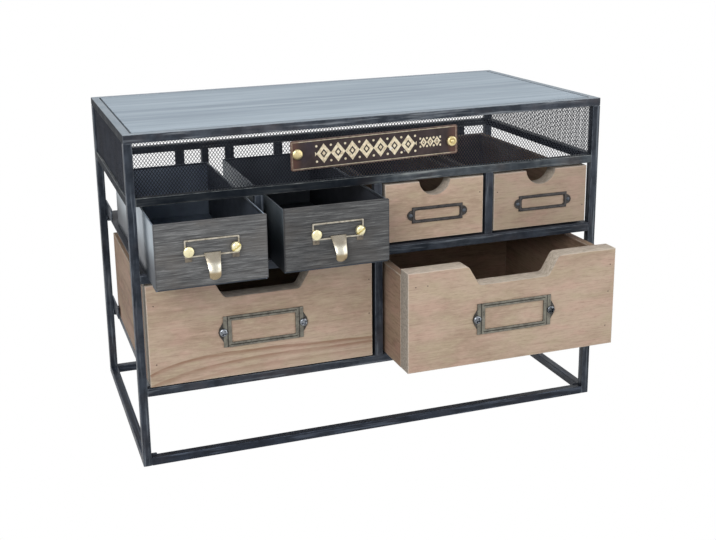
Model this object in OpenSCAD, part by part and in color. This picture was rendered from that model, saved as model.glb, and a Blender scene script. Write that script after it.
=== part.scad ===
// Tabletop chest: a black square-bar frame with a mesh band, four small drawers and two large ones.
// Origin: middle of the frame's footprint on the floor. +Z is up and the fronts face -Y.
// Millimetres. Drawers 1, 2 and 6 are drawn pulled out.

/* [Frame] */
// Width of the frame over the posts
frame_w = 480; // [360:1:700]
// Depth of the frame over the posts
frame_d = 240; // [200:1:400]
// Height of the frame
frame_h = 320; // [300:1:420]
// Side of the square bar
bar = 8; // [6:0.5:12]
// Clear height for the large drawers
large_clear = 103; // [80:0.5:160]
// Clear height for the small drawers, above the deck
small_clear = 63; // [50:0.5:100]
// Clear height of the mesh band
band_clear = 50; // [40:0.5:90]
// How far the side runners stand in from the posts
runner_inset = 3.3; // [2:0.1:4]
// Width of the flat runner under the middle of the large row
centre_runner_w = 26; // [24:1:40]

/* [Panels] */
// Thickness of the top panel's skin
top_t = 1.5; // [1:0.1:3]
// Thickness of the backing under the skin
backing_t = 1; // [0.8:0.1:3]
// Width of the groove round the top panel
top_groove = 1.6; // [0.5:0.1:2.5]
// Thickness of the deck sheet that the small drawers slide on
deck_t = 1.5; // [1:0.1:3]
// Thickness of the back stop bars
stop_t = 3; // [2:0.5:4]
// Width of the back stop bars
stop_w = 10.5; // [8:0.5:14]
// Length of the rear guide plates
guide_l = 44; // [30:1:60]
// Height of the rear guide plates
guide_h = 13; // [8:0.5:20]
// Thickness of the rear guide plates
guide_t = 1.5; // [1:0.1:2]

/* [Mesh] */
// Thickness of the mesh
mesh_t = 1.2; // [0.8:0.1:2]
// How far the mesh stands in from the outer faces
mesh_in = 2; // [1.6:0.1:4]
// Diamonds along the front
mesh_cols = 25; // [11:1:27]
// Diamonds along each side
mesh_side_cols = 12; // [7:1:12]
// Half rows of diamonds in the height
mesh_rows = 6; // [4:1:6]
// Width of the strands
strand_w = 2; // [1.2:0.1:3]

/* [Sign] */
// Width of the sign plate
sign_w = 169; // [100:1:220]
// Height of the sign plate
sign_h = 28.5; // [20:0.5:36]
// Thickness of the sign plate
sign_t = 1.5; // [1:0.1:1.8]
// Height of the plate's middle above the band rail
sign_up = 27.2; // [22:0.1:29]
// How far the plate's middle is left of the frame's middle
sign_left = 2; // [0:0.5:10]
// Tilt of the plate in degrees, right end up
sign_tilt = 1.1; // [0:0.1:1.5]
// Distance of each bolt from the plate's end
sign_bolt_in = 6.3; // [5.5:0.1:30]
// Diameter of the bolt heads
sign_bolt_d = 10; // [6:0.5:12]
// Height of the bolt heads
sign_bolt_h = 3; // [2:0.1:4]

/* [Drawer fronts] */
// Gap at each side of a small wooden front
small_side = 3; // [1.5:0.1:5]
// Gap under the small fronts
small_under = 2.5; // [1:0.1:5]
// Gap over the small fronts
small_over = 2.3; // [1:0.1:5]
// Thickness of a small wooden front
small_front_t = 16; // [8:0.5:20]
// How far drawer 4 stands to the left in its bay
small_shift = 2; // [0:0.1:2]
// Radius of the round notch
notch_r = 16.5; // [8:0.5:20]
// Height of the notch's middle over the front's top edge
notch_up = 2; // [0:0.5:4]
// Gap at each side of a large front
large_side = 3.3; // [2:0.1:5]
// Gap under the large fronts
large_under = 1; // [0.8:0.1:4]
// Gap over the large fronts
large_over = 2.5; // [1:0.1:6]
// Thickness of a large front
large_front_t = 18; // [10:0.5:22]
// Width of the large notch along its floor
wide_notch_floor = 74; // [40:1:90]
// Width of the large notch at the top edge
wide_notch_top = 97; // [60:1:110]
// Depth of the large notch
wide_notch_h = 20; // [10:0.5:25]
// Radius that rounds the large notch
wide_notch_r = 6; // [3:0.5:7]
// Gap at each side of a dark drawer
dark_side = 5; // [3:0.1:8]
// Thickness of a dark front
dark_front_t = 4; // [3:0.5:8]

/* [Drawer boxes] */
// Wall of the sheet boxes
sheet_t = 1.2; // [1:0.1:2]
// Floor of the sheet boxes
sheet_floor = 2; // [1:0.1:3]
// Thickness of the wooden sides and backs of the small drawers
small_board = 6; // [4:0.5:10]
// Thickness of the wooden sides and backs of the large drawers
large_board = 8; // [5:0.5:12]
// Thickness of the wooden floors
floor_board = 4; // [3:0.5:6]
// How far the wooden sides stay below their front
side_drop = 6.5; // [3:0.5:12]
// Room behind a sheet drawer, before the stop bars
dark_room = 0.5; // [0.4:0.1:60]
// Room behind a small wooden drawer, before the stop bars
small_room = 7; // [0.4:0.1:60]
// Room behind a large drawer, before the frame's back face
large_room = 25; // [0.4:0.1:60]
// Running gap under the drawers
run_gap = 0.3; // [0.2:0.1:0.6]

/* [Pull-out as drawn] */
// Drawer 1
open_1 = 58; // [0:1:150]
// Drawer 2
open_2 = 50; // [0:1:150]
// Drawer 6
open_6 = 55; // [0:1:150]

/* [Brass pulls] */
// Width of the card frame
pull_w = 49; // [40:0.5:60]
// Height of the card frame
pull_h = 16; // [12:0.5:22]
// Width of the frame's strips
pull_rim = 2; // [1.5:0.1:3]
// Thickness of the brass sheet
pull_t = 1.4; // [1:0.1:2]
// Drop from the front's top edge to the card frame
pull_down = 15.5; // [10:0.5:20]
// Distance between the bolts
pull_bolt_span = 42; // [34:0.5:50]
// Diameter of the bolt heads
pull_bolt_d = 9.6; // [6:0.1:12]
// Height of the bolt heads
pull_bolt_h = 3.4; // [2:0.1:5]
// Width of the finger tongue
tongue_w = 14; // [9:0.5:18]
// Length that the tongue hangs below the card frame
tongue_l = 20; // [14:0.5:22]
// How far the tongue stands out
tongue_out = 10; // [7:0.5:16]

/* [Card holders] */
// Width of a small holder
holder_w = 54; // [40:0.5:70]
// Height of a small holder
holder_h = 16; // [12:0.5:20]
// Rim of a small holder
holder_rim = 3.2; // [2:0.1:5]
// Thickness of the holders
holder_t = 1.6; // [1.2:0.1:3]
// Radius of a small holder's round ears
ear_r = 5; // [3:0.1:7]
// Drop from the front's top edge to the middle of a small holder
holder_down = 33; // [28:0.5:40]
// How far the small holders stand right of the middle
holder_right = 2.5; // [0:0.5:4]
// Width of a large holder
wide_holder_w = 79; // [60:1:100]
// Height of a large holder
wide_holder_h = 31; // [20:0.5:40]
// Upper and lower rim of a large holder
wide_holder_rim = 4.6; // [3:0.1:7]
// Rim at the ends of a large holder
wide_holder_end = 8; // [6.5:0.1:14]
// Height of the pointed ears of a large holder
wide_ear_h = 20; // [12:0.5:22]
// How far the ears stand out
wide_ear_out = 4.8; // [2.5:0.1:8]
// Drop from the front's top edge to the middle of a large holder
wide_holder_down = 54; // [44:0.5:70]
// Diameter of the screws on a large holder
screw_d = 7.4; // [5:0.1:9]
// Height of the screw heads
screw_h = 2.2; // [1.5:0.1:4]

/* [Hidden] */
$fn = 48;
// Cuts run past the faces by this much
over = 1;

// Rings of bar in the height, and what is left for the gap over the base ring
rings = 5;
leg_gap = frame_h - rings * bar - large_clear - deck_t - small_clear - band_clear;

// Heights of the rings
lower_z = bar + leg_gap;
lower_top = lower_z + bar;
middle_z = lower_top + large_clear;
middle_top = middle_z + bar;
deck_top = middle_top + deck_t;
band_z = deck_top + small_clear;
band_top = band_z + bar;
rim_z = band_top + band_clear;

// Inner faces of the posts
in_x = frame_w / 2 - bar;
in_y = frame_d / 2 - bar;
front_y = -frame_d / 2;

// Bays
small_n = 4;
bay_w = (2 * in_x - (small_n - 1) * bar) / small_n;
large_bay_w = (2 * in_x - bar) / 2;
function bay_x(i) = -in_x + bay_w / 2 + i * (bay_w + bar);
function large_x(i) = (i == 0 ? -1 : 1) * (large_bay_w + bar) / 2;

// Front boards
small_w = bay_w - 2 * small_side;
small_h = small_clear - small_under - small_over;
small_z = deck_top + small_under;
dark_w = bay_w - 2 * dark_side;
large_w = large_bay_w - 2 * large_side;
large_h = large_clear - large_under - large_over;
large_z = lower_top + large_under;

// Lengths of the drawers with their fronts
dark_len = frame_d - stop_t - dark_room;
small_len = frame_d - stop_t - small_room;
large_len = frame_d - large_room;

// Middles of the two back stop bars in each bay, as shares of the bay width
stop_shares = [[0.24, 0.78], [0.23, 0.755], [0.265, 0.785], [0.25, 0.715]];

// Sign and its bolts
sign_bolt_span = sign_w - 2 * sign_bolt_in;
sign_y = front_y + mesh_in;
sign_z = band_top + sign_up;
shank_d = 4;
nut_d = 7.5;
nut_t = 2.4;
sign_r = 2;

// Brass pull
tab_w = 7;
tab_h = 11;
tongue_top = 3;
tongue_steps = 10;
pull_bolt_down = 10.3;
bolt_pin_d = 3;
bolt_pin_l = 2.5;
screw_pin_d = 3;
screw_pin_l = 8;
hole_gap = 0.1;

// A block between two corners
module block(a, b) {
    translate(a) cube([b[0] - a[0], b[1] - a[1], b[2] - a[2]]);
}

// A flat shape drawn in X and Z, from y0 back to y0 + t
module plate(y0, t) {
    translate([0, y0 + t, 0]) rotate([90, 0, 0]) linear_extrude(height = t) children();
}

// Posts stand under the rim ring
module post(sx, sy) {
    color("#33363c") block([sx < 0 ? -frame_w / 2 : in_x, sy < 0 ? front_y : in_y, 0],
        [sx < 0 ? -in_x : frame_w / 2, sy < 0 ? -in_y : frame_d / 2, rim_z]);
}

// A rail across the front or the back
module cross_rail(sy, z) {
    color("#33363c") block([-in_x, sy < 0 ? front_y : in_y, z],
        [in_x, sy < 0 ? -in_y : frame_d / 2, z + bar]);
}

// A rail along one side between the posts
module side_rail(sx, z) {
    color("#33363c") block([sx < 0 ? -frame_w / 2 : in_x, -in_y, z],
        [sx < 0 ? -in_x : frame_w / 2, in_y, z + bar]);
}

// A bar from the front rail to the back rail, inside the posts
module side_runner(sx, z) {
    x = in_x - runner_inset - bar;
    color("#3a3d42") block([sx < 0 ? -x - bar : x, -in_y, z], [sx < 0 ? -x : x + bar, in_y, z + bar]);
}

// The ring of bar round the top
module rim_ring() {
    color("#3a3e44") difference() {
        block([-frame_w / 2, front_y, rim_z], [frame_w / 2, frame_d / 2, frame_h]);
        block([-in_x, -in_y, rim_z - over], [in_x, in_y, frame_h + over]);
    }
}

// The brushed top sheet on its backing, flush with the ring
module top_panel() {
    color("#8b98a3") {
        block([-in_x + top_groove, -in_y + top_groove, frame_h - top_t],
            [in_x - top_groove, in_y - top_groove, frame_h]);
        block([-in_x, -in_y, frame_h - top_t - backing_t], [in_x, in_y, frame_h - top_t]);
    }
}

// The sheet on the middle rails
module deck_panel() {
    color("#6d7378") block([-in_x, front_y, middle_top], [in_x, frame_d / 2, deck_top]);
}

// The flat runner under the inner sides of both large drawers
module large_runner_centre() {
    color("#3a3d42") block([-centre_runner_w / 2, -in_y, lower_z],
        [centre_runner_w / 2, in_y, lower_top]);
}

// An upright between two bays, at the front or the back
module divider(x, sy, z, top) {
    block([x - bar / 2, sy < 0 ? front_y : in_y, z], [x + bar / 2, sy < 0 ? -in_y : frame_d / 2, top]);
}
module small_divider(i) {
    color("#33363c") divider(bay_x(i) + (bay_w + bar) / 2, -1, deck_top, band_z);
}
module large_divider(sy) {
    color("#33363c") divider(0, sy, lower_top, middle_z);
}

// Back uprights of the small row, with two stop bars in each bay
module back_uprights() {
    color("#33363c") {
        for (i = [0 : small_n - 2]) divider(bay_x(i) + (bay_w + bar) / 2, 1, deck_top, band_z);
        for (i = [0 : small_n - 1], s = stop_shares[i]) {
            x = bay_x(i) - bay_w / 2 + s * bay_w;
            block([x - stop_w / 2, frame_d / 2 - stop_t, deck_top], [x + stop_w / 2, frame_d / 2, band_z]);
        }
    }
}

// Small plates on the back posts, beside the rear ends of the outer drawers
module rear_guides() {
    color("#33363c") for (sx = [-1, 1], z = [deck_top, lower_top])
        block([sx < 0 ? -in_x : in_x - guide_t, frame_d / 2 - guide_l, z],
            [sx < 0 ? -in_x + guide_t : in_x, frame_d / 2, z + guide_h]);
}

// Flat mesh of diamonds, w wide and as high as the band, drawn in X and Z about x = 0
module mesh_flat(w, cols) {
    px = w / cols;
    pz = 2 * band_clear / (mesh_rows + 1);
    // Half sizes of one gap, so that each strand has its width
    k = strand_w / 2 * sqrt(px * px + pz * pz) / (px * pz) * 2;
    hx = px / 2 * (1 - k);
    hz = pz / 2 * (1 - k);
    difference() {
        translate([-w / 2, 0]) square([w, band_clear]);
        for (j = [0 : mesh_rows - 1]) {
            odd = j % 2;
            for (i = [0 : cols - 1 - odd]) {
                cx = -w / 2 + px * (i + 0.5 + 0.5 * odd);
                cz = pz / 2 * (j + 1);
                polygon([[cx - hx, cz], [cx, cz - hz], [cx + hx, cz], [cx, cz + hz]]);
            }
        }
    }
}
module mesh_front() {
    color("#2b2d31") difference() {
        translate([0, 0, band_top]) plate(front_y + mesh_in, mesh_t) mesh_flat(2 * in_x, mesh_cols);
        for (sx = [-1, 1]) bolt_hole(sx);
    }
}
module mesh_side(sx) {
    x = frame_w / 2 - mesh_in - mesh_t;
    color("#2b2d31") translate([sx < 0 ? -x - mesh_t : x, 0, band_top])
        rotate([0, 0, 90]) mirror([0, 1, 0]) plate(0, mesh_t) mesh_flat(2 * in_y, mesh_side_cols);
}

// Round-cornered rectangle about the origin
module round_rect(w, h, r) {
    square([w - 2 * r, h], center = true);
    square([w, h - 2 * r], center = true);
    for (x = [-1, 1], z = [-1, 1]) translate([x * (w / 2 - r), z * (h / 2 - r)]) circle(r = r);
}

// The plate lies on the mesh, a little askew, with a hole for each bolt
module sign_plate() {
    color("#4a3a33") difference() {
        translate([-sign_left, 0, sign_z]) rotate([0, -sign_tilt, 0])
            plate(sign_y - sign_t, sign_t) round_rect(sign_w, sign_h, sign_r);
        for (sx = [-1, 1]) bolt_hole(sx);
    }
}
module bolt_hole(sx) {
    translate([sx * sign_bolt_span / 2 - sign_left, sign_y + mesh_t + over, sign_z]) rotate([90, 0, 0])
        cylinder(d = shank_d + 2 * hole_gap, h = sign_t + mesh_t + 2 * over);
}

// Domed head: a low turned cap of diameter d and height h that faces -Y from y0
module dome(x, y0, z, d, h) {
    flat = h / 4;
    translate([x, y0, z]) rotate([90, 0, 0]) rotate_extrude()
        polygon(concat([[0, 0], [d / 2, 0], [d / 2, flat]],
            [for (a = [15 : 15 : 75]) [d / 2 * cos(a), flat + (h - flat) * sin(a)]], [[0, h]]));
}

// Dome bolt through the plate and the mesh, with its nut behind
module sign_bolt(sx) {
    x = sx * sign_bolt_span / 2 - sign_left;
    color("#d8c074") {
        dome(x, sign_y - sign_t, sign_z, sign_bolt_d, sign_bolt_h);
        translate([x, sign_y + mesh_t + nut_t, sign_z]) rotate([90, 0, 0]) {
            cylinder(d = shank_d, h = nut_t + mesh_t + sign_t + over / 2);
            cylinder(d = nut_d, h = nut_t, $fn = 6);
        }
    }
}

// Sheet box open at the top; its front wall carries the wooden face
module dark_box(i, out) {
    x = bay_x(i);
    y = front_y - out;
    z = deck_top + run_gap;
    top = small_z + small_h - sheet_t;
    color("#8f979e") difference() {
        block([x - dark_w / 2, y + dark_front_t, z], [x + dark_w / 2, y + dark_len, top]);
        block([x - dark_w / 2 + sheet_t, y + dark_front_t + sheet_t, z + sheet_floor],
            [x + dark_w / 2 - sheet_t, y + dark_len - sheet_t, top + over]);
    }
}
module dark_front(i, out) {
    color("#5c5e60") difference() {
        block([bay_x(i) - dark_w / 2, front_y - out, small_z],
            [bay_x(i) + dark_w / 2, front_y - out + dark_front_t, small_z + small_h]);
        for (sx = [-1, 1]) pull_hole(i, out, sx);
    }
}

// Middle height of the pull's bolts
pull_top = small_z + small_h - pull_down;
pull_bolt_z = pull_top - pull_bolt_down;
module pull_hole(i, out, sx) {
    translate([bay_x(i) + sx * pull_bolt_span / 2, front_y - out + bolt_pin_l, pull_bolt_z]) rotate([90, 0, 0])
        cylinder(d = bolt_pin_d + 2 * hole_gap, h = bolt_pin_l + pull_t + over);
}

// Card frame with a tab under each bolt and a curved finger tongue below
module dark_pull(i, out) {
    y = front_y - out;
    color("#d2bd7c") {
        translate([bay_x(i), 0, 0]) difference() {
            union() {
                plate(y - pull_t, pull_t) translate([0, pull_top]) difference() {
                    translate([-pull_w / 2, -pull_h]) square([pull_w, pull_h]);
                    translate([-pull_w / 2 + pull_rim, -pull_h + pull_rim])
                        square([pull_w - 2 * pull_rim, pull_h - 2 * pull_rim]);
                }
                for (sx = [-1, 1]) plate(y - pull_t, pull_t)
                    translate([sx * pull_bolt_span / 2 - tab_w / 2, pull_bolt_z - tab_h / 2])
                        square([tab_w, tab_h]);
                tongue(y);
            }
            for (sx = [-1, 1]) translate([sx * pull_bolt_span / 2, y + over, pull_bolt_z]) rotate([90, 0, 0])
                cylinder(d = bolt_pin_d + 2 * hole_gap, h = pull_t + 2 * over);
        }
    }
}

// The tongue leaves the frame's lower strip, bows out and comes down to a rolled tip
function tongue_y(s) = tongue_out * sin(90 * min(1, s * 1.25)) - (s > 0.8 ? tongue_out * (s - 0.8) : 0);
module tongue(y) {
    top = pull_top - pull_h + tongue_top;
    pts = [for (k = [0 : tongue_steps]) let (s = k / tongue_steps)
        [y - pull_t / 2 - tongue_y(s), top - s * (tongue_l + tongue_top)]];
    outer = [for (p = pts) [p[0] - pull_t / 2, p[1]]];
    inner = [for (k = [tongue_steps : -1 : 0]) [pts[k][0] + pull_t / 2, pts[k][1] - pull_t]];
    translate([-tongue_w / 2, 0, 0]) rotate([90, 0, 90]) linear_extrude(height = tongue_w)
        polygon(concat(outer, inner));
}

// The two dome bolts that hold the pull
module dark_bolts(i, out) {
    y = front_y - out;
    color("#e3d59a") for (sx = [-1, 1]) {
        x = bay_x(i) + sx * pull_bolt_span / 2;
        dome(x, y - pull_t, pull_bolt_z, pull_bolt_d, pull_bolt_h);
        translate([x, y + bolt_pin_l - hole_gap, pull_bolt_z]) rotate([90, 0, 0])
            cylinder(d = bolt_pin_d, h = bolt_pin_l - hole_gap + pull_t + over / 2);
    }
}

// Middle of a small wooden drawer
function small_x(i) = bay_x(i) - (i == 3 ? small_shift : 0);

// Small wooden front with a round finger notch
module small_front(i) {
    color("#b59c86") plate(front_y, small_front_t) difference() {
        translate([small_x(i) - small_w / 2, small_z]) square([small_w, small_h]);
        translate([small_x(i), small_z + small_h + notch_up]) circle(r = notch_r);
    }
}

// Sides, back and floor of a wooden drawer, about x, from y0 back to y1
module tray(x, w, y0, y1, z, top, board) {
    color("#9c8570") difference() {
        block([x - w / 2, y0, z], [x + w / 2, y1, top]);
        block([x - w / 2 + board, y0 - over, z + floor_board], [x + w / 2 - board, y1 - board, top + over]);
    }
}
module small_tray(i) {
    tray(small_x(i), small_w, front_y + small_front_t, front_y + small_len,
        deck_top + run_gap, small_z + small_h - side_drop, small_board);
}

// Bronze card holder with round ears
module small_holder(i) {
    color("#5b4a3a") translate([small_x(i) + holder_right, 0, small_z + small_h - holder_down])
        plate(front_y - holder_t, holder_t) difference() {
            union() {
                square([holder_w, holder_h], center = true);
                for (sx = [-1, 1]) translate([sx * holder_w / 2, 0]) circle(r = ear_r);
            }
            square([holder_w - 2 * holder_rim, holder_h - 2 * holder_rim], center = true);
        }
}

// Points of an arc about c with radius r from angle a to angle b
function arc(c, r, a, b, n) = [for (k = [0 : n]) let (t = a + (b - a) * k / n) [c[0] + r * cos(t), c[1] + r * sin(t)]];

// Half of the large front's outline, from the bottom middle round to the notch floor's middle, right side
slope_a = atan2(wide_notch_h, (wide_notch_top - wide_notch_floor) / 2);
edge_cut = wide_notch_r * tan(slope_a / 2);
arc_n = 8;
function half_outline(w, h) = concat([[w / 2, 0], [w / 2, h]],
    arc([wide_notch_top / 2 + edge_cut, h - wide_notch_r], wide_notch_r, 90, 90 + slope_a, arc_n),
    arc([wide_notch_floor / 2 - edge_cut, h - wide_notch_h + wide_notch_r], wide_notch_r,
        slope_a - 90, -90, arc_n));
function mirrored(p) = [for (k = [len(p) - 1 : -1 : 0]) [-p[k][0], p[k][1]]];

// Large wooden front with a wide notch whose corners are rounded
module large_front(i, out) {
    color("#ab9480") translate([large_x(i), 0, large_z]) plate(front_y - out, large_front_t)
        difference() {
            half = half_outline(large_w, large_h);
            polygon(concat(half, mirrored(half)));
            for (sx = [-1, 1]) translate([sx * wide_holder_w / 2, large_h - wide_holder_down])
                circle(d = screw_pin_d + 2 * hole_gap);
        }
}
module large_tray(i, out) {
    tray(large_x(i), large_w, front_y - out + large_front_t, front_y - out + large_len,
        lower_top + run_gap, large_z + large_h - side_drop, large_board);
}

// Large bronze card holder with a pointed ear at each end for its screw
ear_shares = [[-0.3, -0.5], [0, -0.5], [0.8, -0.18], [1, -0.06], [1, 0.06], [0.8, 0.18], [0, 0.5], [-0.3, 0.5]];
holder_z = large_z + large_h - wide_holder_down;
module large_holder(i, out) {
    color("#54463a") translate([large_x(i), 0, holder_z])
        plate(front_y - out - holder_t, holder_t) difference() {
            union() {
                square([wide_holder_w, wide_holder_h], center = true);
                for (sx = [-1, 1]) polygon([for (p = ear_shares)
                    [sx * (wide_holder_w / 2 + p[0] * wide_ear_out), p[1] * wide_ear_h]]);
            }
            square([wide_holder_w - 2 * wide_holder_end, wide_holder_h - 2 * wide_holder_rim], center = true);
            for (sx = [-1, 1]) translate([sx * wide_holder_w / 2, 0]) circle(d = screw_pin_d + 2 * hole_gap);
        }
}

// Two pan-head screws through the holder into the front
module large_screws(i, out) {
    y = front_y - out;
    color("#a6a6a2") for (sx = [-1, 1]) {
        x = large_x(i) + sx * wide_holder_w / 2;
        dome(x, y - holder_t, holder_z, screw_d, screw_h);
        translate([x, y + screw_pin_l, holder_z]) rotate([90, 0, 0])
            cylinder(d = screw_pin_d, h = screw_pin_l + holder_t + screw_h / 2);
    }
}

post(-1, -1);  // post_front_left
post(1, -1);  // post_front_right
post(-1, 1);  // post_back_left
post(1, 1);  // post_back_right
rim_ring();
top_panel();
cross_rail(-1, band_z);  // band_rail_front
cross_rail(1, band_z);  // band_rail_back
side_rail(-1, band_z);  // band_rail_left
side_rail(1, band_z);  // band_rail_right
cross_rail(-1, middle_z);  // middle_rail_front
cross_rail(1, middle_z);  // middle_rail_back
cross_rail(-1, lower_z);  // lower_rail_front
cross_rail(1, lower_z);  // lower_rail_back
cross_rail(-1, 0);  // base_rail_front
cross_rail(1, 0);  // base_rail_back
side_rail(-1, 0);  // base_rail_left
side_rail(1, 0);  // base_rail_right
side_runner(-1, middle_z);  // small_runner_left
side_runner(1, middle_z);  // small_runner_right
deck_panel();
side_runner(-1, lower_z);  // large_runner_left
large_runner_centre();
side_runner(1, lower_z);  // large_runner_right
small_divider(0);  // small_divider_1
small_divider(1);  // small_divider_2
small_divider(2);  // small_divider_3
large_divider(-1);  // large_divider_front
large_divider(1);  // large_divider_back
back_uprights();
rear_guides();
mesh_front();
mesh_side(-1);  // mesh_left
mesh_side(1);  // mesh_right
sign_plate();
sign_bolt(-1);  // sign_bolt_left
sign_bolt(1);  // sign_bolt_right
dark_box(0, open_1);  // dark_box_1
dark_front(0, open_1);  // dark_front_1
dark_pull(0, open_1);  // dark_pull_1
dark_bolts(0, open_1);  // dark_bolts_1
dark_box(1, open_2);  // dark_box_2
dark_front(1, open_2);  // dark_front_2
dark_pull(1, open_2);  // dark_pull_2
dark_bolts(1, open_2);  // dark_bolts_2
small_front(2);  // small_front_3
small_tray(2);  // small_tray_3
small_holder(2);  // small_holder_3
small_front(3);  // small_front_4
small_tray(3);  // small_tray_4
small_holder(3);  // small_holder_4
large_front(0, 0);  // large_front_5
large_tray(0, 0);  // large_tray_5
large_holder(0, 0);  // large_holder_5
large_screws(0, 0);  // large_screws_5
large_front(1, open_6);  // large_front_6
large_tray(1, open_6);  // large_tray_6
large_holder(1, open_6);  // large_holder_6
large_screws(1, open_6);  // large_screws_6
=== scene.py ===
# %% [markdown]
# # A tabletop chest of drawers
#
# The chest is a frame of square steel bar with a mesh band under its top, and six drawers. This
# script gives each piece the surface that the bare solid lacks: eased edges, weld beads, a fine
# expanded net, separate boards with grain, rimmed card holders, bowed brass tongues and worn
# paint.
#
# All lengths are metres. +X is right, -Y is the front, +Z is up.

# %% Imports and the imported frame
import math

import bmesh
import bpy
import numpy as np
from mathutils import Matrix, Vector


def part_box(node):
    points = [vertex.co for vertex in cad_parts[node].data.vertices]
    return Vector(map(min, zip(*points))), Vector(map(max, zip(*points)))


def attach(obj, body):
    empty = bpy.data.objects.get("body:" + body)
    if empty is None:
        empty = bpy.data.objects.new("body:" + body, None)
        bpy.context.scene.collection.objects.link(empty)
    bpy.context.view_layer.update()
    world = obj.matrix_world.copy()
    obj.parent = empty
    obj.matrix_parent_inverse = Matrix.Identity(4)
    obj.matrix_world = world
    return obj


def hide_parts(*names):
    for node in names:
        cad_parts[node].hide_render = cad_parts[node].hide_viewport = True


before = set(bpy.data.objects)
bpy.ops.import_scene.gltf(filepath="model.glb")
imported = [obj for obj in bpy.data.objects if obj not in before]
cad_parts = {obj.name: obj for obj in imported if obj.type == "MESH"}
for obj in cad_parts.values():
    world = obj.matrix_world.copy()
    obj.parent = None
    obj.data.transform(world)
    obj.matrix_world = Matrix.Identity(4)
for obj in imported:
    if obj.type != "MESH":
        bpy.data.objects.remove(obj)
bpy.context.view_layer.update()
MM = 0.001


def ends(node):
    """The lowest and the highest corner of a node at rest, as two arrays."""
    low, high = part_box(node)
    return np.array(low, float), np.array(high, float)


# %% [markdown]
# ## The camera
#
# The camera stands left of the middle and above the chest, turned a little clockwise. A small
# shift of the lens keeps the posts closer to upright, as in the photograph.

# %% Camera
IMAGE_W = 716
FOCAL_PX = 1057.1
CENTRE_PX = (300.0, 190.0)
FRAME_CENTRE_PX = (358.0, 270.0)
AZIMUTH = math.radians(-17.05)
ELEVATION = math.radians(13.88)
ROLL = math.radians(-1.43)
EYE = (-0.3594, -1.0361, 0.4921)

camera_data = bpy.data.cameras.new("camera")
camera_data.sensor_width = 36.0
camera_data.lens = FOCAL_PX * camera_data.sensor_width / IMAGE_W
camera_data.shift_x = (FRAME_CENTRE_PX[0] - CENTRE_PX[0]) / IMAGE_W
camera_data.shift_y = (CENTRE_PX[1] - FRAME_CENTRE_PX[1]) / IMAGE_W
camera_data.clip_start = 0.01
camera = bpy.data.objects.new("camera", camera_data)
bpy.context.collection.objects.link(camera)
camera.matrix_world = (
    Matrix.Translation(EYE)
    @ Matrix.Rotation(AZIMUTH, 4, "Z")
    @ Matrix.Rotation(math.pi / 2 - ELEVATION, 4, "X")
    @ Matrix.Rotation(ROLL, 4, "Z")
)
bpy.context.scene.camera = camera
print(f"lens {camera_data.lens:.1f} mm, shift {camera_data.shift_x:.3f} and {camera_data.shift_y:.3f}")


# %% [markdown]
# ## A short way to write materials
#
# `Shader` adds one node per call and hands back its output, so a material reads as a recipe.
# Most of a recipe is a list of layers over a first tone. A row of it says which noise or
# distance rules the layer, where the layer starts and is full, its greatest share and its
# colour. Three attributes that every board, bar and plate carries feed it:
#
# * `grain`: metres along the piece, across it and through it, with an offset of its own;
# * `low` and `high`: the distances from the piece's low faces and from its high faces.
#
# On any face of a box one of the three nearest-face distances is zero. The second smallest is
# then the distance to the nearest edge: `max(min(a, b), min(max(a, b), c))`.

# %% Shader writer
def plug(tree, socket, value):
    """Links a node's output to a socket, or sets the socket to a number, place or colour."""
    if hasattr(value, "is_output"):
        tree.links.new(value, socket)
    else:
        socket.default_value = (*value, 1.0) if socket.type == "RGBA" else value


def add_node(tree, kind, *values, **named):
    """Adds a node and plugs values into its sockets, in their order or by their names."""
    node = tree.nodes.new("ShaderNode" + kind)
    for socket, value in zip(node.inputs, values):
        plug(tree, socket, value)
    for name, value in named.items():
        plug(tree, node.inputs[name], value)
    return node


def dye(tone, shade):
    """The tone times a number, or times one number for each of red, green and blue."""
    return tuple(np.multiply(tone, shade))


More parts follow.
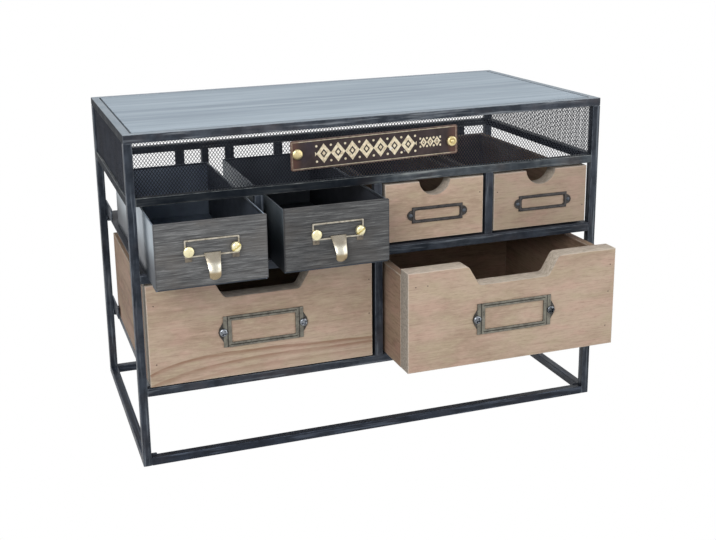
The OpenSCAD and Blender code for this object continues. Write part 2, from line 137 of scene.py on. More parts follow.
class Shader:
    """A material whose recipe grows by one node per call. Each call returns an output."""

    def __init__(self, name):
        self.material = bpy.data.materials.new(name)
        self.material.use_nodes = True
        self.tree = self.material.node_tree
        self.tree.nodes.clear()
        self.bsdf = add_node(self.tree, "BsdfPrincipled")
        add_node(self.tree, "OutputMaterial", self.bsdf.outputs[0])

    def attribute(self, name):
        """Three numbers that every corner of the mesh carries under this name."""
        node = add_node(self.tree, "Attribute")
        node.attribute_name = name
        return node.outputs["Vector"]

    def place(self):
        """Metres in the object's own frame."""
        return add_node(self.tree, "TexCoord").outputs["Object"]

    def split(self, vector):
        """The three parts of a vector."""
        return add_node(self.tree, "SeparateXYZ", vector).outputs

    def vector(self, operation, a, b):
        """One step of arithmetic on two vectors."""
        node = add_node(self.tree, "VectorMath", a, b)
        node.operation = operation
        return node.outputs[0]

    def noise(self, vector, scale, detail=4.0, rough=0.55):
        """Cloudy noise about 0.5, with scale clouds to a unit of the vector."""
        node = add_node(self.tree, "TexNoise", Vector=vector, Scale=scale, Detail=detail, Roughness=rough)
        return node.outputs["Fac"]

    def grain(self, waves, detail=4.0, rough=0.55, shift=(0.0, 0.0, 0.0)):
        """Noise with this many waves per metre along the piece, across it and through it."""
        place = self.vector("ADD", self.attribute("grain"), shift)
        return self.noise(self.vector("MULTIPLY", place, waves), 1.0, detail, rough)

    def math(self, operation, a, b=0.0):
        """One step of arithmetic on one or two numbers."""
        node = add_node(self.tree, "Math", a, b)
        node.operation = operation
        return node.outputs[0]

    def plus(self, a, b):
        return self.math("ADD", a, b)

    def minus(self, a, b):
        return self.math("SUBTRACT", a, b)

    def times(self, a, b):
        """The product. Two numbers give a number, so a constant passes through no node."""
        numbers = isinstance(a, float) and isinstance(b, float)
        return a * b if numbers else self.math("MULTIPLY", a, b)

    def between(self, value, low, high, out_low=0.0, out_high=1.0):
        """A soft step: out_low where value is low and out_high where it is high."""
        node = add_node(self.tree, "MapRange", value, low, high, out_low, out_high)
        node.interpolation_type = "SMOOTHSTEP"
        return node.outputs[0]

    def mix(self, share, a, b):
        """Colour a where share is 0 and colour b where it is 1."""
        node = add_node(self.tree, "Mix")
        node.data_type = "RGBA"
        for key, value in (("Factor", share), (6, a), (7, b)):
            plug(self.tree, node.inputs[key], value)
        return node.outputs[2]

    def layers(self, tone, *rows):
        """Lays colours over tone. A row is: value, low, high, greatest share, colour."""
        for value, low, high, share, colour in rows:
            tone = self.mix(self.between(value, low, high, 0.0, share), tone, colour)
        return tone

    def nearest(self):
        """Distances to the nearest pair of faces along the piece, across it and through it."""
        low = self.split(self.attribute("low"))
        high = self.split(self.attribute("high"))
        return [self.math("MINIMUM", low[k], high[k]) for k in range(3)]

    def facing(self):
        """The three parts of the surface's own direction, without their signs."""
        parts = self.split(add_node(self.tree, "NewGeometry").outputs["Normal"])
        return [self.math("ABSOLUTE", part) for part in parts]

    def edge(self):
        """Distance to the nearest edge of a box: the second smallest of the three."""
        a, b, c = self.nearest()
        inner = self.math("MINIMUM", self.math("MAXIMUM", a, b), c)
        return self.math("MAXIMUM", self.math("MINIMUM", a, b), inner)

    def finish(self, tone, noise, rough, metal=0.0, shine=0.5, bump=None, full=0.7):
        """Sets the surface and returns its material.

        rough holds the roughness where noise is low and from where it is full. bump is a
        height field, a strength and a depth.
        """
        values = {"Base Color": tone, "Metallic": metal, "Specular IOR Level": shine}
        values["Roughness"] = self.between(noise, 0.3, full, *rough)
        if bump:
            height, strength, depth = bump
            node = add_node(self.tree, "Bump", Height=height, Strength=strength, Distance=depth)
            values["Normal"] = node.outputs[0]
        for name, value in values.items():
            plug(self.tree, self.bsdf.inputs[name], value)
        print(f"{self.material.name}: {len(self.tree.nodes)} nodes")
        return self.material


# %% [markdown]
# ## Metals
#
# The frame is mild steel under a thin blue-black lacquer. It is clouded like hot-rolled bar, a
# little brown in places, with soft streaks along the bar and a ragged pale line on its edges.
# The rim's upper side is painted lighter, a painted highlight, and its outer sides darker,
# painted shade. The band and rim bars are painted lighter copies and the base bars a darker copy,
# painted light that falls off downwards, and the front band rail is painted darker left of the
# middle, a painted reflection of the dark drawers below it.

# %% Frame steel
STRAIGHT = (0.75, 0.95)


def frame_steel(name, shade=1.0, lit_top_share=0.0, dark_reflection=0.0, sides=0.0):
    """Blue-black bar stock. shade multiplies every tone; the band, rim and base bars use it for
    painted lighter and darker copies.

    lit_top_share is how far its upward faces turn to the panel's grey, a painted highlight.
    dark_reflection is how far the bar is painted darker left of the middle, a painted reflection of
    the dark drawers below it.
    sides is how far its left and right faces are painted as dark as the mesh below them, painted shade.
    """
    deep, cloud, brown, pale, worn, top = [dye(tone, shade) for tone in (
        (0.010, 0.014, 0.021), (0.036, 0.044, 0.058), (0.050, 0.042, 0.045),
        (0.140, 0.156, 0.177), (0.180, 0.200, 0.230), (0.148, 0.186, 0.225))]
    s = Shader(name)
    place = s.place()
    mottle = s.noise(place, 52.0, 6.0, 0.68)
    streak = s.grain((16.0, 300.0, 300.0), 4.0, 0.62)
    tone = s.layers(
        deep,
        (mottle, 0.36, 0.66, 1.0, cloud),
        (s.noise(place, 17.0, 4.0, 0.6), 0.50, 0.70, 0.55, brown),
        (streak, 0.52, 0.68, 0.70, pale),
        (streak, 0.46, 0.32, 0.60, deep),
    )
    lit = plain = 1.0
    # Painted highlight: upward faces turn lighter, to the panel's grey.
    if lit_top_share:
        tone = s.layers(tone, (s.facing()[2], *STRAIGHT, lit_top_share, s.mix(streak, dye(top, 0.7), top)))
    # Painted shade: left and right faces turn dark, with less sheen and no rubbed edge.
    if sides:
        side_shade = s.between(s.facing()[0], *STRAIGHT, 0.0, sides)
        tone = s.mix(side_shade, tone, (0.012, 0.015, 0.020))
        plain = s.minus(1.0, side_shade)
    # Painted reflection: the bar darkens left of the middle, over the dark drawers, with less sheen.
    if dark_reflection:
        lit = s.between(s.split(place)[0], -0.008, 0.006, 1.0 - dark_reflection, 1.0)
        tone = s.mix(lit, (0.004, 0.006, 0.010), tone)
    ragged = s.plus(s.edge(), s.times(s.noise(place, 75.0, 5.0, 0.72), 0.0018))
    rub = s.times(s.between(ragged, 0.0016, 0.0007, 0.0, 0.75), plain)
    shine = s.times(s.times(lit, plain), 0.25)
    tone = s.mix(rub, tone, worn)
    return s.finish(tone, mottle, (0.38, 0.56), s.times(plain, 0.20), shine, (mottle, 0.20, 0.0003))


# %% Sheet metal
def top_sheet():
    """Pale blue-grey sheet with long soft brush marks that run the length of the panel."""
    s = Shader("top_sheet")
    fine = s.grain((5.0, 1.0, 170.0), 5.0, 0.68)
    tone = s.layers(
        (0.215, 0.255, 0.295),
        (s.grain((1.8, 1.0, 30.0), 5.0, 0.66), 0.30, 0.72, 1.0, (0.340, 0.390, 0.432)),
        (fine, 0.50, 0.66, 0.45, (0.410, 0.462, 0.500)),
        (fine, 0.48, 0.32, 0.45, (0.150, 0.185, 0.220)),
        (s.grain((3.0, 1.0, 9.0)), 0.47, 0.70, 0.35, (0.190, 0.228, 0.265)),
    )
    return s.finish(tone, fine, (0.50, 0.64), 0.10, 0.10, (fine, 0.12, 0.0002))


def plain_steel(name, dark, light, rough, metal, shine=0.5):
    """Rolled sheet: clouded, with fine scratches and a little brighter where it is rubbed."""
    s = Shader(name)
    place = s.place()
    cloud = s.noise(place, 26.0, 5.0, 0.6)
    scratch = s.noise(s.vector("MULTIPLY", place, (60.0, 60.0, 700.0)), 1.0, 2.0)
    tone = s.layers(dark, (cloud, 0.35, 0.70, 1.0, light), (scratch, 0.6, 0.8, 0.25, light))
    return s.finish(tone, cloud, rough, metal, shine, (scratch, 0.06, 0.0002))


def folded_sheet(name, shade):
    """Bright grey sheet that mirrors softly what it faces. It is painted dark towards the bottom of each
    piece, painted shade, and shade makes a darker copy, painted shade.
    """
    s = Shader(name)
    cloud = s.noise(s.place(), 30.0, 5.0, 0.6)
    # Painted shade: below a ragged line near the bottom of each piece the sheet is painted dark.
    climb = s.plus(s.split(s.attribute("low"))[1], s.times(cloud, 0.016))
    bare = s.layers(dye((0.33, 0.38, 0.42), shade), (cloud, 0.35, 0.70, 1.0, dye((0.46, 0.51, 0.55), shade)))
    tone = s.layers((0.050, 0.060, 0.074), (climb, 0.022, 0.052, 1.0, bare))
    return s.finish(tone, cloud, (0.34, 0.44), 0.85)


def box_lining(name, back, side):
    """Dark paint inside a sheet box: one tone on its back and floor, and a deeper one on its sides, painted
    shade.
    """
    s = Shader(name)
    cloud = s.noise(s.place(), 26.0, 5.0, 0.6)
    # Painted shade: faces that look left or right take the deeper side tone.
    tone = s.layers(back, (s.facing()[0], 0.4, 0.8, 1.0, side), (cloud, 0.35, 0.70, 0.35, dye(side, 0.5)))
    return s.finish(tone, cloud, (0.45, 0.60), 0.2, 0.2)


# %% Brass
def brass(name, bright, dull, stain, rough=0.28, fine=420.0, metal=0.85):
    """Yellow metal with stains that gather in clouds, and finer spots within them."""
    s = Shader(name)
    place = s.place()
    cloud = s.noise(place, 140.0, 5.0, 0.6)
    spots = s.noise(place, fine, 3.0, 0.6)
    tone = s.layers(bright, (cloud, 0.35, 0.68, 1.0, dull), (spots, 0.52, 0.72, 0.6, stain))
    return s.finish(tone, cloud, (rough, rough + 0.2), metal, bump=(spots, 0.12, 0.0002), full=0.75)


def tongue_brass():
    """Near silver in the middle, a painted highlight on the bow of the tongue; brown at its root, golden
    brown at its tip, and painted darker along its sides, painted shade.
    """
    s = Shader("tongue_brass")
    cloud = s.noise(s.place(), 160.0, 4.0, 0.6)
    height = s.split(s.attribute("low"))[1]
    # The near-silver base is a painted highlight on the bow; the last layer darkens the sides, painted shade.
    tone = s.layers(
        (0.62, 0.59, 0.50),
        (cloud, 0.35, 0.68, 1.0, (0.46, 0.43, 0.35)),
        (height, 0.0084, 0.0056, 0.85, (0.30, 0.220, 0.115)),
        (height, 0.0120, 0.0165, 0.70, (0.20, 0.165, 0.125)),
        (s.nearest()[0], 0.0030, 0.0010, 0.45, (0.20, 0.17, 0.12)),
    )
    return s.finish(tone, cloud, (0.24, 0.36), 0.9)


# %% [markdown]
# ## Wood
#
# One recipe serves every board: fine hair lines and a small mottle along the board, over slow
# clouds of tone. The wood is dry and pale along its edges, grey on its sawn top and notch, and
# darker on its end grain; these faces are found by the direction in which they look. A flame is
# one growth ring cut at a slant. It climbs over the board as `v = start + rise (1 - exp(-u / l))
# - fall u`, sharp on its upper side and soft below.

# %% Wood recipes
WOBBLE = 0.006


def wood(name, tones, shade=1.0, rings=0.15, wear=0.6, sawn=0.0, flames=()):
    """A board in four tones: pale, middle, dark and grey, all times shade.

    rings is the share of the dark streaks, wear that of the pale edges and sawn that of the
    grey on the cut faces. flames holds a row of start, rise, reach, fall and share for each.
    """
    pale, middle, dark, grey = [dye(tone, shade) for tone in tones]
    s = Shader(name)
    hair = s.grain((45.0, 800.0, 800.0), 4.0, 0.7)
    mottle = s.grain((120.0, 420.0, 420.0), 5.0, 0.70)
    streak = s.grain((13.0, 230.0, 230.0), 4.0, 0.6)
    blush = s.grain((30.0, 70.0, 70.0), shift=(3.1, 1.7, 0.9))
    tone = s.layers(
        middle,
        (s.grain((10.0, 20.0, 20.0)), 0.33, 0.68, 1.0, pale),
        (blush, 0.50, 0.66, 0.50, dye(pale, (1.05, 0.91, 0.97))),
        (blush, 0.50, 0.36, 0.50, dye(pale, (0.90, 0.98, 0.88))),
        (streak, 0.50, 0.68, 0.30, pale),
        (streak, 0.48, 0.32, rings, dark),
        (mottle, 0.50, 0.66, 0.32, dye(pale, 1.14)),
        (mottle, 0.48, 0.34, 0.22, dark),
        (hair, 0.52, 0.68, 0.35, dye(pale, 1.12)),
        (hair, 0.48, 0.32, 0.38, dark),
    )
    along, up, _ = s.split(s.attribute("low"))
    wobble = s.times(s.grain((14.0, 30.0, 30.0), 3.0, 0.5), WOBBLE)
    for start, rise, reach, fall, share in flames:
        climb = s.minus(1.0, s.math("EXPONENT", s.math("DIVIDE", along, -reach)))
        line = s.plus(s.times(climb, rise), s.times(along, -fall))
        gap = s.minus(s.plus(up, wobble), s.plus(line, start + WOBBLE / 2))
        flame = s.times(s.between(gap, -0.0050, -0.0004), s.between(gap, 0.0011, 0.0001))
        flame = s.times(flame, s.between(streak, 0.30, 0.60, 0.45, 1.0))
        tone = s.mix(s.times(flame, share), tone, dye(dark, (1.05, 0.85, 0.75)))
    if sawn:
        side, front, _ = s.facing()
        speck = s.between(mottle, 0.35, 0.65)
        cut = s.mix(speck, dye(grey, 0.62), grey)
        end_grain = s.mix(speck, dye(grey, 0.40), dye(grey, 0.64))
        tone = s.layers(tone, (front, 0.75, 0.35, sawn, cut), (side, 0.90, 0.97, 0.9, end_grain))
    ragged = s.plus(s.edge(), s.times(mottle, 0.0030))
    tone = s.layers(tone, (ragged, 0.0027, 0.0014, wear, dye(grey, 1.08)))
    return s.finish(tone, hair, (0.64, 0.80), shine=0.2, bump=(mottle, 0.25, 0.0003))


def dark_wood(name, shade):
    """Grey-black stain with fine brushed lines along the board and a few brown clouds."""
    deep, ground, light, black, brown, worn = [dye(tone, shade) for tone in (
        (0.090, 0.089, 0.089), (0.130, 0.128, 0.127), (0.245, 0.242, 0.236),
        (0.036, 0.035, 0.036), (0.122, 0.108, 0.096), (0.046, 0.046, 0.050))]
    s = Shader(name)
    lines = s.grain((48.0, 1200.0, 1200.0), 4.0, 0.72)
    tone = s.layers(
        deep,
        (s.grain((22.0, 420.0, 420.0), 4.0, 0.62), 0.36, 0.66, 1.0, ground),
        (lines, 0.51, 0.67, 0.85, light),
        (lines, 0.49, 0.34, 0.75, black),
        (s.grain((22.0, 40.0, 40.0)), 0.48, 0.70, 0.45, brown),
        (s.edge(), 0.0012, 0.0005, 0.40, worn),
    )
    return s.finish(tone, lines, (0.66, 0.80), shine=0.12, bump=(lines, 0.40, 0.0003))


# %% [markdown]
# ## The sign plate's paint
#
# The plate carries a cream pinstripe and a row of lozenges with dots between them, a plain
# ornament. `face` holds metres from the middle of the plate along it and up it. A lozenge is the
# set where `|u| / a + |v| / b < 1`, and a ring of it lies between two such bounds.

# %% Sign paint
ROWS = (
    # middle, count, pitch, half width, half height
    (-0.0095, 7, 0.0142, 0.0074, 0.0094),
    (0.0560, 3, 0.0070, 0.0035, 0.0050),
)
DOT_R = 0.0012
STRIPE_IN = 0.0016
STRIPE_W = 0.0006
SOFT = 0.0002


def sign_paint(width, height):
    """Brown-black plate with cream ornament, red-brown ends, a rubbed rim and small chips."""
    s = Shader("sign_face")
    face = s.attribute("face")
    u, v, _ = s.split(face)
    off_u, off_v = s.math("ABSOLUTE", u), s.math("ABSOLUTE", v)
    inset_u = s.minus(width / 2, off_u)
    inset = s.math("MINIMUM", inset_u, s.minus(height / 2, off_v))
    off_stripe = s.math("ABSOLUTE", s.minus(inset, STRIPE_IN))
    paint = s.between(off_stripe, (STRIPE_W + SOFT) / 2, STRIPE_W / 2, 0.0, 0.65)
    for middle, count, pitch, half_w, half_h in ROWS:
        # Each lozenge's own u: the distance to the nearest multiple of the pitch
        off_middle = s.minus(u, middle)
        whole = s.math("ROUND", s.math("DIVIDE", off_middle, pitch))
        cell = s.math("ABSOLUTE", s.minus(off_middle, s.times(whole, pitch)))
        reach = s.plus(s.math("DIVIDE", cell, half_w), s.math("DIVIDE", off_v, half_h))
        ring = s.times(s.between(reach, 1.0, 0.97), s.between(reach, 0.44, 0.47))
        core = s.between(reach, 0.25, 0.22)
        half = s.minus(pitch / 2, cell)
        rise = s.minus(off_v, half_h * 0.78)
        radius = s.math("SQRT", s.plus(s.times(half, half), s.times(rise, rise)))
        dots = s.between(radius, DOT_R, DOT_R - SOFT)
        span = (count + 0.22) * pitch / 2
        inside = s.between(s.math("ABSOLUTE", off_middle), span, span - SOFT)
        motif = s.times(s.math("MAXIMUM", s.math("MAXIMUM", ring, core), dots), inside)
        paint = s.math("MAXIMUM", paint, motif)
    wear = s.noise(face, 330.0, 5.0, 0.7)
    cloud = s.noise(face, 60.0, 5.0, 0.65)
    dusk = s.noise(s.vector("ADD", face, (2.0, 5.0, 0.0)), 34.0, 3.0, 0.5)
    cream = s.layers((0.76, 0.67, 0.49), (wear, 0.40, 0.60, 1.0, (0.55, 0.45, 0.30)))
    ground = s.layers(
        (0.022, 0.014, 0.014),
        (cloud, 0.38, 0.66, 1.0, (0.046, 0.031, 0.030)),
        (dusk, 0.52, 0.66, 0.5, (0.030, 0.023, 0.036)),
    )
    tone = s.layers(
        s.mix(s.times(paint, s.between(wear, 0.72, 0.62)), ground, cream),
        (s.plus(inset_u, s.times(cloud, 0.016)), 0.020, 0.011, 0.55, (0.125, 0.055, 0.038)),
        (s.plus(inset, s.times(wear, 0.004)), 0.0034, 0.0022, 0.45, (0.30, 0.21, 0.17)),
        (s.noise(face, 95.0, 3.0, 0.5), 0.69, 0.72, 0.85, (0.66, 0.64, 0.62)),
    )
    return s.finish(tone, cloud, (0.45, 0.65), shine=0.25, bump=(wear, 0.15, 0.0002))


# %% [markdown]
# ## Meshes from parts
#
# A piece is a list of parts: arrays of corners and faces with the three attributes beside them.
# `box_part` rounds the edges of a box, `plate_part` turns an outline with holes into a plate
# with eased edges, `turned_part` spins a profile and `tube_part` runs a round tube along a line.
# `build` joins them into one object that stands at the origin, rides on its body and stands in
# for its CAD nodes.

# %% Boxes
AXES = {"x": (0, 2, 1), "y": (1, 2, 0), "z": (2, 0, 1)}
SEED_SHIFT = np.array([0.731, 0.417, 0.193])


def with_attributes(verts, faces, low, high, axis="x", seed=0.0):
    """Adds the grain, low and high attributes of a piece that fills the box low to high."""
    order = list(AXES[axis])
    return {
        "verts": verts,
        "faces": faces,
        "grain": verts[:, order] + SEED_SHIFT * seed,
        "low": (verts - low)[:, order],
        "high": (high - verts)[:, order],
    }


def box_part(low, high, radius, axis="x", seed=0.0, steps=2):
    """A box with rounded edges. axis is the way its grain runs."""
    low, high = np.array(low, float), np.array(high, float)
    bm = bmesh.new()
    place = Matrix.Translation((low + high) / 2) @ Matrix.Diagonal((*(high - low), 1.0))
    bmesh.ops.create_cube(bm, size=1.0, matrix=place)
    limit = min(radius, 0.45 * float(np.min(high - low)))
    bmesh.ops.bevel(bm, geom=list(bm.edges), offset=limit, segments=steps, profile=0.5, affect="EDGES")
    bm.verts.index_update()
    verts = np.array([v.co[:] for v in bm.verts])
    faces = [[v.index for v in f.verts] for f in bm.faces]
    bm.free()
    return with_attributes(verts, faces, low, high, axis, seed)


# %% Plates
def plate_part(outlines, y_front, thickness, radius, seed=0.0, steps=2, turn=0.0):
    """A plate in the XZ plane with eased edges.

    outlines: the outer outline and then the holes, each a list of (x, z) corners.
    The plate reaches from y_front back by its thickness. turn swings it about its middle.
    """
    data = bpy.data.curves.new("plate", "CURVE")
    data.dimensions = "2D"
    data.fill_mode = "BOTH"
    data.extrude = max(thickness / 2 - radius, 0.0)
    data.bevel_depth = radius
    data.bevel_resolution = steps - 1
    data.offset = -radius
    for k, outline in enumerate(outlines):
        points = np.array(outline, float)
        x, z = points.T
        area = np.sum(x * np.roll(z, -1) - np.roll(x, -1) * z)
        if (area > 0) != (k == 0):
            points = points[::-1]
        spline = data.splines.new("POLY")
        spline.points.add(len(points) - 1)
        flat = np.zeros((len(points), 4))
        flat[:, :2] = points
        flat[:, 3] = 1.0
        spline.points.foreach_set("co", flat.ravel())
        spline.use_cyclic_u = True
    carrier = bpy.data.objects.new("plate", data)
    bpy.context.collection.objects.link(carrier)
    mesh = bpy.data.meshes.new_from_object(carrier.evaluated_get(bpy.context.evaluated_depsgraph_get()))
    flat = np.empty(len(mesh.vertices) * 3)
    mesh.vertices.foreach_get("co", flat)
    flat = flat.reshape(-1, 3)
    faces = [list(p.vertices) for p in mesh.polygons]
    bpy.data.objects.remove(carrier)
    bpy.data.curves.remove(data)
    bpy.data.meshes.remove(mesh)
    corners = np.array(outlines[0], float)
    first, last = corners.min(0), corners.max(0)
    middle = (first + last) / 2
    across, up = (flat[:, :2] - middle).T
    c, s = math.cos(turn), math.sin(turn)
    depth = y_front + thickness / 2 - flat[:, 2]
    verts = np.stack([middle[0] + c * across - s * up, depth, middle[1] + s * across + c * up], 1)
    low = np.array([first[0], y_front, first[1]])
    high = np.array([last[0], y_front + thickness, last[1]])
    part = with_attributes(verts, faces, low, high, "x", seed)
    part["face"] = np.stack([across, up, 0 * up], 1)
    return part


# %% Faces of bands and grids
def band_faces(one, two):
    """Quads of a closed band between two loops of corner numbers."""
    return np.stack([one, np.roll(one, -1), np.roll(two, -1), two], 1).tolist()


def tube_faces(rings, sides):
    """Quads from each ring of corners to the next, and then a cap over the first and the last."""
    loops = np.arange(rings * sides).reshape(rings, sides)
    faces = [quad for one, two in zip(loops, loops[1:]) for quad in band_faces(one, two)]
    return faces + [loops[0, ::-1].tolist(), loops[-1].tolist()]


def grid_faces(rows, cols):
    """Quads of a grid whose corners are numbered row by row."""
    grid = np.arange(rows * cols).reshape(rows, cols)
    quads = np.stack([grid[:-1, :-1], grid[:-1, 1:], grid[1:, 1:], grid[1:, :-1]], -1)
    return quads.reshape(-1, 4).tolist()


def grid_rim(rows, cols):
    """The numbers of the corners round the outside of a grid."""
    grid = np.arange(rows * cols).reshape(rows, cols)
    return np.concatenate([grid[0], grid[1:, -1], grid[-1, -2::-1], grid[-2:0:-1, 0]])


# %% Turned parts and tubes
def turned_part(profile, centre, sides):
    """A turned piece that faces -Y: profile is a list of (radius, height), height towards -Y."""
    radius, height = np.array(profile, float).T[..., None]
    turn = np.linspace(0, 2 * math.pi, sides, endpoint=False)
    rings = np.stack([radius * np.cos(turn), 0 * turn - height, radius * np.sin(turn)], -1)
    verts = (rings + centre).reshape(-1, 3)
    return with_attributes(verts, tube_faces(len(profile), sides), verts.min(0), verts.max(0))


def tube_part(start, end, radii, toward, sides, seed=0.0):
    """A round tube from start to end through rings of these radii. toward is any other way."""
    start, end = np.array(start, float), np.array(end, float)
    way = (end - start) / np.linalg.norm(end - start)
    side = np.cross(way, toward)
    side /= np.linalg.norm(side)
    turn = np.linspace(0, 2 * math.pi, sides, endpoint=False)[:, None]
    circle = np.cos(turn) * side + np.sin(turn) * np.cross(way, side)
    centres = start + np.linspace(0, 1, len(radii))[:, None] * (end - start)
    verts = (centres[:, None, :] + circle * np.array(radii)[:, None, None]).reshape(-1, 3)
    return with_attributes(verts, tube_faces(len(radii), sides), verts.min(0), verts.max(0), "x", seed)


# %% One object from its parts
def build(name, parts, material, body, nodes=(), smooth=None):
    """One object from its parts. smooth is the angle in degrees below which edges are soft."""
    verts = np.concatenate([p["verts"] for p in parts])
    shift = np.cumsum([0] + [len(p["verts"]) for p in parts])
    faces = [[int(i + shift[k]) for i in face] for k, p in enumerate(parts) for face in p["faces"]]
    mesh = bpy.data.meshes.new(name)
    mesh.from_pydata(verts.tolist(), [], faces)
    for key in ("grain", "low", "high", "face"):
        if all(key in p for p in parts):
            layer = mesh.attributes.new(key, "FLOAT_VECTOR", "POINT")
            layer.data.foreach_set("vector", np.concatenate([p[key] for p in parts]).ravel())
    if smooth:
        mesh.shade_smooth()
        mesh.set_sharp_from_angle(angle=math.radians(smooth))
    mesh.materials.append(material)
    mesh.validate()
    piece = bpy.data.objects.new(name, mesh)
    bpy.context.collection.objects.link(piece)
    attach(piece, body)
    if nodes:
        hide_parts(*nodes)
    print(f"{name}: {len(parts)} parts, {len(verts)} corners, {len(faces)} faces, rides on {body}")


# %% Outlines
def arc(x, z, r, a, b, steps=8):
    """Points on an arc about (x, z) from angle a to angle b, in degrees."""
    turn = np.radians(np.linspace(a, b, steps + 1))
    return np.stack([x + r * np.cos(turn), z + r * np.sin(turn)], 1).tolist()


def rounded(x, z, half_w, half_h, r):
    """Outline of a rectangle about (x, z) with round corners."""
    w, h = half_w - r, half_h - r
    starts = ((w, h, 0), (-w, h, 90), (-w, -h, 180), (w, -h, 270))
    return [point for u, v, a in starts for point in arc(x + u, z + v, r, a, a + 90, 4)]


# %% [markdown]
# ## The steel frame
#
# Each bar of the CAD frame becomes a bar with a 0.7 mm round on its edges, which is what catches
# the light. The rim ring is four bars cut square, as they are welded. A small bead of weld
# lies in the inner corner where a rail meets its post.

# %% Frame bars
BAR_R = 0.7 * MM
# The band bars are a painted lighter copy of the steel and the base bars a painted darker copy: painted light
# that falls off downwards. The band bars' left and right faces carry painted shade.
BAND_PAINTED_LIGHT = (1.85, 1.74, 1.48)
DIVIDERS = ["small_divider_1", "small_divider_2", "small_divider_3", "large_divider_front"]
steel = frame_steel("frame_steel")
lit_upper_steel = frame_steel("lit_upper_steel", BAND_PAINTED_LIGHT, sides=0.95)
shaded_lower_steel = frame_steel("shaded_lower_steel", (0.56, 0.60, 0.70))
# The front band rail is painted lighter like the band and painted darker left of the middle, a painted
# reflection of the dark drawers below it.
front_band_steel_painted_light = frame_steel("front_band_steel_painted_light", BAND_PAINTED_LIGHT, dark_reflection=0.75)
BARS = {
    "z": [f"post_{end}_{side}" for end in ("front", "back") for side in ("left", "right")]
    + DIVIDERS + ["large_divider_back"],
    "x": [f"{level}_rail_{end}"
          for level in ("band", "middle", "lower", "base") for end in ("front", "back")],
    "y": [f"{level}_rail_{side}" for level in ("band", "base") for side in ("left", "right")]
    + ["small_runner_left", "small_runner_right"]
    + ["large_runner_left", "large_runner_centre", "large_runner_right"],
}
seed = 1.0
for axis, names in BARS.items():
    for node in names:
        low, high = ends(node)
        # Band bars take the painted lighter copy, base bars the painted darker copy.
        look = lit_upper_steel if "band" in node else shaded_lower_steel if "base" in node else steel
        # The front band rail also carries the painted reflection of the dark drawers.
        look = front_band_steel_painted_light if node == "band_rail_front" else look
        build(f"{node}_bar", [box_part(low, high, BAR_R, axis, seed)], look, "frame", [node])
        seed += 1.0

post_low, post_high = ends("post_front_left")
BAR = post_high[0] - post_low[0]
INNER = -post_high[0]
rim_low, rim_high = ends("rim_ring")
rim_parts = []
for y0 in (rim_low[1], rim_high[1] - BAR):
    high = (rim_high[0], y0 + BAR, rim_high[2])
    rim_parts.append(box_part((rim_low[0], y0, rim_low[2]), high, BAR_R, "x", seed))
    seed += 1.0
for x0 in (rim_low[0], rim_high[0] - BAR):
    high = (x0 + BAR, rim_high[1] - BAR, rim_high[2])
    rim_parts.append(box_part((x0, rim_low[1] + BAR, rim_low[2]), high, BAR_R, "y", seed))
    seed += 1.0
# The rim is a painted lighter copy, with a painted highlight on its upper faces and painted shade on its
# outer sides.
rim_steel_painted_light = frame_steel("rim_steel_painted_light", (1.55, 1.48, 1.40), 0.90, sides=0.95)
build("rim_bars", rim_parts, rim_steel_painted_light, "frame", ["rim_ring"])


# %% Back stop bars and guide plates
STOP_W = 10.5 * MM
STOP_T = 3 * MM
# Where the two stops of each bay stand, as shares of the bay's width
STOP_SHARES = ((0.24, 0.78), (0.23, 0.755), (0.265, 0.785), (0.25, 0.715))
GUIDE_T = 1.5 * MM
GUIDE_H = 13 * MM


def stop_parts():
    """The back uprights: three square bars and two thin stops in each bay, from the CAD box."""
    low, high = ends("back_uprights")
    bay = (2 * INNER - 3 * BAR) / 4
    parts = []
    for k in range(3):
        x = -INNER + (k + 1) * bay + k * BAR
        parts.append(box_part((x, high[1] - BAR, low[2]), (x + BAR, high[1], high[2]), BAR_R, "z", k + 40.0))
    for k, shares in enumerate(STOP_SHARES):
        for share in shares:
            x = -INNER + k * (bay + BAR) + share * bay
            stop_low = (x - STOP_W / 2, high[1] - STOP_T, low[2])
            stop_high = (x + STOP_W / 2, high[1], high[2])
            parts.append(box_part(stop_low, stop_high, 0.4 * MM, "z", x * 100.0))
    return parts


def guide_parts():
    """The four thin guide plates: one low and one high at either side of the CAD box."""
    low, high = ends("rear_guides")
    parts = []
    for x0 in (low[0], high[0] - GUIDE_T):
        for z0 in (low[2], high[2] - GUIDE_H):
            guide_high = (x0 + GUIDE_T, high[1], z0 + GUIDE_H)
            parts.append(box_part((x0, low[1], z0), guide_high, 0.3 * MM, "y", x0 + z0))
    return parts


build("back_stops", stop_parts(), steel, "frame", ["back_uprights"])
build("guide_plates", guide_parts(), steel, "frame", ["rear_guides"])


# %% [markdown]
# A weld bead is a short row of overlapping ripples. Its radius swells along the way with
# `1 + 0.18 |sin|`, which is what a row of cooled puddles looks like.

# %% Weld beads
BEAD_R = 1.1 * MM
BEAD_RING = 0.35 * MM
RIPPLE = 1.4 * MM
# The beads on the side rails run along this share of the bar
SHORT_BEAD = 0.8


def bead_part(start, end, seed):
    """A bead from start to end: one swell of its radius per ripple, drawn in at both ends."""
    length = math.dist(start, end)
    t = np.linspace(0, 1, max(int(length / BEAD_RING), 8))
    swell = 1 + 0.18 * np.abs(np.sin(t * length / RIPPLE * math.pi + seed))
    taper = np.sqrt(np.clip(1 - (2 * t - 1) ** 8, 0.02, 1))
    return tube_part(start, end, BEAD_R * swell * taper, (0.3, 0.5, 0.8), 10, seed)


